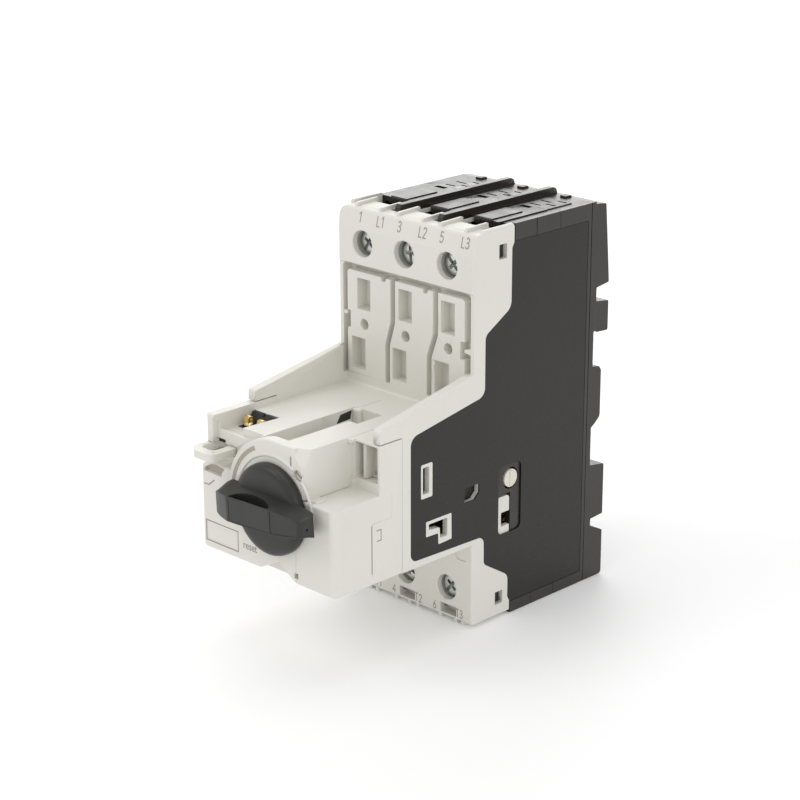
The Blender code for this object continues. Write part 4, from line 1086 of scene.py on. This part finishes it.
def socket():
    adds = [
        prism("Z", fillet([(-19.6, -85.6), (-11.7, -85.6), (-11.3, -79.9), (-19.6, -79.9)], 0.2), 50.0, 51.2),
        prism("X", fillet([(-82.4, 51.0), (-80.6, 53.9), (-79.85, 53.9), (-79.85, 51.0)], [0, 0.2, 0, 0]), -19.7, -11.25),
    ]
    cuts = [cyl("Z", x, -83.6, 1.5, 50.9, 53.0, 28) for x in (-17.8, -13.2)]
    cuts += [cyl("Z", x, -83.6, 0.75, 49.0, 53.0, 24) for x in (-17.8, -13.2)]
    cuts += [box(x - 0.3, x + 0.3, -82.0, -79.0, 53.3, 55.0) for x in (-15.5,)]
    return carve("socket", adds, cuts, SOCKET_AND_SHADE_BLACK, nodes=("connector_socket",), slot="knob_plastic", bevel=0.1)


def pin(number, x):
    """A folded spring contact: a round foot, a collar and a bent blade with a rolled top."""
    foot = turned("Z", x, -83.6, [(0.55, 50.1), (0.55, 51.5), (1.25, 51.55), (1.3, 51.75), (1.15, 52.1), (0.9, 52.3)], 40)
    bend = [(-84.25, 51.9), (-84.3, 53.0), (-84.1, 53.55), (-83.6, 53.75), (-83.1, 53.55), (-82.9, 53.0), (-82.85, 52.5)]
    blade = prism("X", stroke(bend, 0.34), x - 0.8, x + 0.8)
    return carve(f"pin_{number}", [foot, blade], [], GOLD, nodes=(f"contact_pin_{number}",), slot="gold_pin", bevel=0.06)


# ---------------------------------------------------------------- terminal screws
def screw(number, x, z, turn):
    head = turned("Y", x, z, [(2.6, -44.6), (2.95, -44.8), (2.95, -46.4), (2.7, -46.78), (2.1, -46.95), (1.9, -46.97)], 64)
    shank = [(1.45, -40.3), (1.2, -40.32)]
    profile, y = [], -40.3
    while y > -44.5:
        profile += [(1.22, y), (1.45, y - 0.17), (1.45, y - 0.2), (1.22, y - 0.37)]
        y -= 0.42
    profile.append((1.4, -44.9))
    shaft = turned("Y", x, z, profile, 40)
    c, s = math.cos(turn), math.sin(turn)

    def at(points):
        return [(x + u * c - v * s, z + u * s + v * c) for u, v in points]

    slot = at([(-4, -0.42), (4, -0.42), (4, 0.42), (-4, 0.42)])
    cross = at([(-0.5, -1.75), (0.5, -1.75), (0.5, 1.75), (-0.5, 1.75)])
    arms = at([(-1.75, -0.5), (1.75, -0.5), (1.75, 0.5), (-1.75, 0.5)])
    deep = [
        loft("Y", cross, -47.2, at([(-0.3, -0.8), (0.3, -0.8), (0.3, 0.8), (-0.3, 0.8)]), -45.2),
        loft("Y", arms, -47.2, at([(-0.8, -0.3), (0.8, -0.3), (0.8, 0.3), (-0.8, 0.3)]), -45.2),
    ]
    cuts = [prism("Y", slot, -48.0, -46.0)] + deep
    return carve(f"screw_{number}", [head, shaft], cuts, ZINC, body=f"screw_{number}", nodes=(f"terminal_screw_{number}",), slot="zinc_steel", bevel=0.06)


# ---------------------------------------------------------------- rail latch and its spring
def latch():
    plate = fillet([(-4.1, 12.0), (-0.9, 12.0), (-0.9, 29.4), (-3.0, 31.8), (-4.1, 31.8)], [0, 0.3, 0.5, 0.4, 0])
    adds = [prism("X", plate, -9.0, 9.0), prism("X", fillet([(-4.1, 1.0), (-0.9, 1.0), (-0.9, 12.4), (-4.1, 12.4)], [0.4, 0.4, 0, 0]), 4.2, 9.0)]
    cuts = [
        rbox("Z", 5.3, 7.9, -5.0, 0.0, 2.6, 5.0, 0.2), rbox("Y", -6.5, 6.5, 15.0, 25.0, -2.3, 0.0, 0.8),
    ]
    cuts += [box(-6.0, 6.0, -2.5, -2.2, z, z + 0.5) for z in (17.0, 19.0, 21.0, 23.0)]
    return carve("latch", adds, cuts, DARK, body="latch", nodes=("rail_latch",), slot="dark_plastic", bevel=0.15)


def latch_spring():
    turns, steps, sides, radius, wire, lo, hi = 7, 40, 14, 1.45, 0.25, 4.8, 11.8
    total = turns * steps
    verts, faces = [], []
    edge = 1 / turns
    low, high, extra = lo + wire, hi - wire, 2.1 * wire
    for i in range(total + 1):
        t = i / total
        if t < edge:
            along = low + extra * t / edge
        elif t > 1 - edge:
            along = high - extra * (1 - t) / edge
        else:
            along = low + extra + (high - low - 2 * extra) * (t - edge) / (1 - 2 * edge)
        angle = 2 * math.pi * turns * t
        for k in range(sides):
            phi = 2 * math.pi * k / sides
            r = radius + wire * math.cos(phi)
            verts.append((r * math.cos(angle), -2.45 + r * math.sin(angle), along + wire * math.sin(phi)))
    for i in range(total):
        for k in range(sides):
            p, q = i * sides + k, i * sides + (k + 1) % sides
            faces.append((p, q, q + sides, p + sides))
    faces += [tuple(range(sides)), tuple(range(total * sides, total * sides + sides))]
    obj = smooth_piece("latch_spring", (verts, faces), STEEL, nodes=("rail_latch_spring",))
    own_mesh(obj)
    return obj


# ---------------------------------------------------------------- printed marks and inlays
def text_piece(name, words, x, z, y, height, mat, slope=0.0, narrow=0.72, weight=0.006, body="housing"):
    """Printed characters, their lower left corner at (x, z) on the front face at depth y."""
    curve = bpy.data.curves.new(name, "FONT")
    curve.body = words
    curve.size = height * MM / 0.72
    curve.extrude = 0.012 * MM
    curve.offset = weight * height * MM
    curve.resolution_u = 6
    obj = bpy.data.objects.new(name, curve)
    bpy.context.scene.collection.objects.link(obj)
    mesh = evaluated(obj)
    bpy.data.objects.remove(obj, do_unlink=True)
    left = min(v.co.x for v in mesh.vertices)
    turn = Matrix.Rotation(math.radians(90) - slope, 4, "X")
    spot = Vector(((x + DATUM[0]) * MM, (y + DATUM[1]) * MM, (z + DATUM[2]) * MM))
    mesh.transform(Matrix.Translation(spot) @ turn @ Matrix.Diagonal((narrow, 1, 1, 1)) @ Matrix.Translation((-left, 0, 0)))
    piece = bpy.data.objects.new(name, mesh)
    bpy.context.scene.collection.objects.link(piece)
    return finish_piece(piece, mat, body)


GLYPHS = {
    "1": ([[(0.05, 0.78), (0.3, 1.0), (0.3, 0.0)]], 0.36),
    "2": ([[(0.04, 0.78), (0.1, 0.92), (0.24, 1.0), (0.4, 0.94), (0.48, 0.78), (0.42, 0.58), (0.04, 0.0), (0.52, 0.0)]], 0.52),
    "3": ([[(0.04, 0.84), (0.14, 0.97), (0.28, 1.0), (0.42, 0.92), (0.46, 0.76), (0.38, 0.6), (0.2, 0.53), (0.4, 0.45), (0.5, 0.27), (0.42, 0.08), (0.26, 0.0), (0.1, 0.04), (0.02, 0.17)]], 0.5),
    "4": ([[(0.4, 0.0), (0.4, 1.0), (0.0, 0.28), (0.54, 0.28)]], 0.54),
    "5": ([[(0.46, 1.0), (0.1, 1.0), (0.06, 0.56), (0.22, 0.62), (0.4, 0.56), (0.5, 0.34), (0.44, 0.12), (0.28, 0.0), (0.1, 0.03), (0.02, 0.15)]], 0.5),
    "6": ([[(0.4, 1.0), (0.2, 0.72), (0.05, 0.38), (0.06, 0.14), (0.2, 0.0), (0.38, 0.02), (0.5, 0.2), (0.46, 0.44), (0.3, 0.56), (0.12, 0.48)]], 0.5),
    "L": ([[(0.05, 1.0), (0.05, 0.0), (0.46, 0.0)]], 0.46),
    "T": ([[(0.0, 1.0), (0.54, 1.0)], [(0.27, 1.0), (0.27, 0.0)]], 0.54),
}


def drawn_mark(name, words, x, z, y, height, mat, slope=0.0, wide=0.12, gap=0.17, body="housing"):
    """Terminal characters as printed strokes, their lower left corner at (x, z) on the front face at depth y."""
    verts, faces, at = [], [], 0.0
    for letter in words:
        lines, advance = GLYPHS[letter]
        for line in lines:
            ring = stroke([(at + a, b) for a, b in line], wide)
            n = len(line)
            for t in (-0.012, 0.012):
                for a, b in ring:
                    up, out = b * height * math.cos(slope), b * height * math.sin(slope)
                    verts.append((x + a * height * 0.86, y + out + t, z + up))
            base = len(verts) - 4 * n
            for k in range(n - 1):
                a, b, c, d = k, k + 1, 2 * n - 2 - k, 2 * n - 1 - k
                faces.append((base + a, base + b, base + c, base + d))
                faces.append((base + 2 * n + d, base + 2 * n + c, base + 2 * n + b, base + 2 * n + a))
            for k in range(2 * n):
                m = (k + 1) % (2 * n)
                faces.append((base + k, base + 2 * n + k, base + 2 * n + m, base + m))
        at += advance + gap
    obj = loose((verts, faces))
    obj.name = obj.data.name = name
    return finish_piece(obj, mat, body)


def inlay(name, outline, y, mat, thick=0.02, body="housing", axis="Y"):
    """A thin printed or inlaid shape standing a little proud of a face."""
    return smooth_piece(name, prism(axis, outline, y - thick, y + 0.05), mat, body=body, bevel=0.004, segments=1)


def marks():
    slope = math.atan2(1.2, 4.9)

    def up(z):
        return -49.3 + max(0.0, z - 93.5) * 1.2 / 4.9 - 0.012

    for words, x in (("1", -15.8), ("L1", -9.6), ("3", -2.6), ("L2", 4.4), ("5", 11.3), ("L3", 18.2)):
        drawn_mark("mark_" + words, words, x, 95.15, up(95.15), 2.5, PRINT, slope=slope)
    for words, x in (("2", -18.2), ("T1", -10.5), ("4", -4.4), ("T2", 3.5), ("6", 9.7), ("T3", 17.4)):
        drawn_mark("mark_" + words, words, x, 1.75, Y_TERM_LO - 0.012, 2.1, PRINT)
    text_piece("mark_reset", "reset", -8.3, 26.0, Y_PLATE - 0.012, 2.0, PRINT, narrow=0.84, weight=0.015)
    inlay("mark_on", rect(8.5, 8.95, 50.5, 53.3), Y_PLATE, PRINT)
    inlay("mark_tick", stroke([(-21.9, 38.7), (-20.2, 38.75), (-18.1, 40.4)], 0.32), Y_PLATE, PRINT)
    ring = arc_points(KNOB_X, KNOB_Z, 15.05, 167.5, 116.0, 30) + arc_points(KNOB_X, KNOB_Z, 13.98, 167.5, 116.0, 30)[::-1]
    inlay("mark_band", ring, Y_PLATE, BAND)
    inlay("mark_field", fillet([(-21.75, 42.1), (-15.6, 41.95), (-15.6, 42.75), (-14.45, 44.0), (-17.5, 44.3), (-19.5, 43.95), (-21.4, 42.95)], 0.2), Y_PLATE + 0.7, BAND)
    # label frame: four thin printed lines
    outer, inner = rect(-21.75, -10.05, 24.25, 29.65), rect(-21.45, -10.35, 24.55, 29.35)
    verts = [place("Y", a, b, t) for t in (Y_PLATE - 0.015, Y_PLATE + 0.05) for o in (outer, inner) for a, b in o]
    faces = []
    for i in range(4):
        j = (i + 1) % 4
        faces += [(i, j, 4 + j, 4 + i), (8 + i, 12 + i, 12 + j, 8 + j), (i, 8 + i, 8 + j, j), (4 + i, 4 + j, 12 + j, 12 + i)]
    smooth_piece("mark_frame", (verts, faces), PRINT, bevel=0.003, segments=1)
    # bracket mark on the right flank
    inlay("mark_bracket", stroke([(-80.9, 35.1), (-79.5, 35.1), (-79.5, 32.5), (-80.9, 32.5)], 0.28), HALF_W - 0.04, PRINT, axis="X")


def post():
    """The rounded upright at the end of the plug channel."""
    shape = levels("Z", [(fillet(rect(-4.15, -1.7, -62.75, -61.3), [0.2, 0.9, 0.2, 0.1]), 49.2), (fillet(rect(-4.15, -1.7, -62.75, -61.3), [0.2, 0.9, 0.2, 0.1]), 53.5), (fillet(rect(-4.1, -1.9, -62.55, -61.3), [0.2, 0.8, 0.2, 0.1]), 53.9)])
    return smooth_piece("channel_post", shape, LIGHT, bevel=0.1)


def painted_shade_boxes():
    """Dark boxes set behind small openings: painted shade standing in for the shadowed insides."""
    opening = fillet([(-67.9, 51.1), (-63.3, 51.3), (-62.8, 53.4), (-66.55, 53.1)], 0.12)
    # painted shade: a dark sheet in the plug channel opening and a dark box in the slot under the lock tongue
    carve("channel_painted_shade", [prism("X", opening, -4.3, -4.16)], [], SOCKET_AND_SHADE_BLACK, slot="knob_plastic", bevel=0.03)
    carve("slot_painted_shade", [box(-20.15, -17.25, -90.95, -90.62, 48.85, 49.9)], [], SOCKET_AND_SHADE_BLACK, slot="knob_plastic", bevel=0.02)
    for s, side in ((1, "right"), (-1, "left")):
        x0, x1 = sorted((s * 20.25, s * 20.75))
        # painted shade: dark boxes behind the pocket hole and the hook holes of each flank
        carve(f"pocket_shade_{side}", [box(x0, x1, -52.0, -45.8, 33.0, 37.9)], [], SOCKET_AND_SHADE_BLACK, slot="knob_plastic", bevel=0.03)
        for z0, z1, end in ((91.5, 94.7, "top"), (3.8, 6.8, "low")):
            x0, x1 = sorted((s * 20.2, s * 21.4))
            carve(f"hook_shade_{side}_{end}", [box(x0, x1, -40.2, -37.9, z0, z1)], [], SOCKET_AND_SHADE_BLACK, slot="knob_plastic", bevel=0.05)


def screw_guides():
    """Round guides behind the terminal faces, one for each screw, in a darker grey that paints the shade inside the
    screw holes.
    """
    adds, cuts = [], []
    for c in POLES:
        for z, back in ((SCREW_UP_Z, -47.66), (SCREW_LO_Z, -47.16)):
            adds.append(cyl("Y", c, z, 4.2, back, -44.3, 56))
            cuts.append(cyl("Y", c, z, 3.2 if z > 50 else 3.1, -49.0, -43.0, 56))
    return carve("screw_guides", adds, cuts, GUIDE_PAINTED_SHADE, bevel=0.06)


def panel_hooks():
    """Small hooks in the notches of the panel's frame groove."""
    right = fillet([(19.3, 69.75), (21.35, 69.5), (21.35, 70.9), (19.3, 70.55)], 0.15)
    left = fillet([(-21.35, 71.0), (-20.1, 71.2), (-20.1, 71.9), (-21.35, 72.1)], 0.15)
    carve("panel_hook_right", [prism("Y", right, -48.55, -46.0)], [], LIGHT, bevel=0.1)
    carve("panel_hook_left", [prism("Y", left, -48.55, -46.0)], [], LIGHT, bevel=0.1)


base_shell()
chamber_shell()
terminal_cover()
side_skin("skin_left", -1, "side_foil_left")
side_skin("skin_right", 1, "side_foil_right")
nose_shell()
escutcheon()
lower_block()
aux_partition()
dial_rim()
knob_body()
tongue()
push()
socket()
pin(1, -17.8)
pin(2, -13.2)
for number, pole in zip((1, 3, 5), POLES):
    screw(number, pole, SCREW_UP_Z, math.radians(35 + 20 * number))
for number, pole in zip((2, 4, 6), POLES):
    screw(number, pole, SCREW_LO_Z, math.radians(20 + 35 * number))
latch()
latch_spring()
marks()
post()
painted_shade_boxes()
screw_guides()
panel_hooks()


# ---------------------------------------------------------------- camera, floor and light
def make_camera():
    az, el, roll = math.radians(44.80379555), math.radians(18.91241131), math.radians(-0.10836527)
    target = Vector([(t + d) * MM for t, d in zip((-0.374936754, -50.2281579, 53.7880416), DATUM)])
    back = Vector((math.sin(az) * math.cos(el), -math.cos(az) * math.cos(el), math.sin(el)))
    right = (-back).cross(Vector((0, 0, 1))).normalized()
    up = right.cross(-back)
    r2 = right * math.cos(roll) + up * math.sin(roll)
    u2 = up * math.cos(roll) - right * math.sin(roll)
    data = bpy.data.cameras.new("camera")
    data.sensor_width = 36.0
    data.lens = 100.188
    data.clip_start, data.clip_end = 0.01, 20.0
    cam = bpy.data.objects.new("camera", data)
    bpy.context.scene.collection.objects.link(cam)
    turn = Matrix((r2, u2, back)).transposed().to_4x4()
    cam.matrix_world = Matrix.Translation(target + back * 538.796735 * MM) @ turn
    bpy.context.scene.camera = cam


def area(name, spot, aim, size, power, colour=(1, 1, 1)):
    data = bpy.data.lights.new(name, "AREA")
    data.shape = "DISK"
    data.size = size
    data.energy = power
    data.color = colour
    obj = bpy.data.objects.new(name, data)
    bpy.context.scene.collection.objects.link(obj)
    obj.location = spot
    obj.rotation_mode = "QUATERNION"
    obj.rotation_quaternion = (Vector(aim) - Vector(spot)).to_track_quat("-Z", "Y")
    return obj


make_camera()
floor_mat = Net("studio_floor")
tone = floor_mat.spread(floor_mat.noise(6.0, 3.0), 0.0, 1.0)
floor_mat.set("Base Color", floor_mat.between(tone, (0.90, 0.90, 0.90, 1.0), (0.92, 0.92, 0.92, 1.0)))
floor_mat.set("Roughness", floor_mat.spread(floor_mat.noise(300.0), 0.6, 0.7))
floor_mat.set("Emission Color", (1.0, 1.0, 1.0, 1.0))
floor_mat.set("Emission Strength", 0.10)
floor_mat.bump([(floor_mat.noise(700.0), 0.2, 0.05)])
mesh = bpy.data.meshes.new("floor")
bm = bmesh.new()
bmesh.ops.create_grid(bm, x_segments=8, y_segments=8, size=4.0)
bm.to_mesh(mesh)
bm.free()
floor = bpy.data.objects.new("floor", mesh)
bpy.context.scene.collection.objects.link(floor)
floor.location = (0.0, 0.0, -0.04795)
mesh.materials.append(floor_mat.mat)

world = bpy.data.worlds.new("studio")
bpy.context.scene.world = world
world.use_nodes = True
world.node_tree.nodes["Background"].inputs["Color"].default_value = (1.0, 1.0, 1.0, 1.0)
world.node_tree.nodes["Background"].inputs["Strength"].default_value = 0.73
area("key", (-0.55, -0.85, 0.85), (0, -0.04, 0.0), 0.7, 2.2)
area("fill", (0.95, -0.35, 0.45), (0, -0.04, 0.0), 0.9, 1.6)
area("top", (-0.1, 0.05, 1.1), (0, -0.04, 0.02), 0.9, 2.3)
area("rear", (-0.80, 0.78, 0.42), (0, -0.02, 0.03), 0.8, 3.0)

scene = bpy.context.scene
scene.view_settings.view_transform = "Standard"
scene.view_settings.look = "None"
scene.view_settings.exposure = 0.0
scene.view_settings.gamma = 1.0
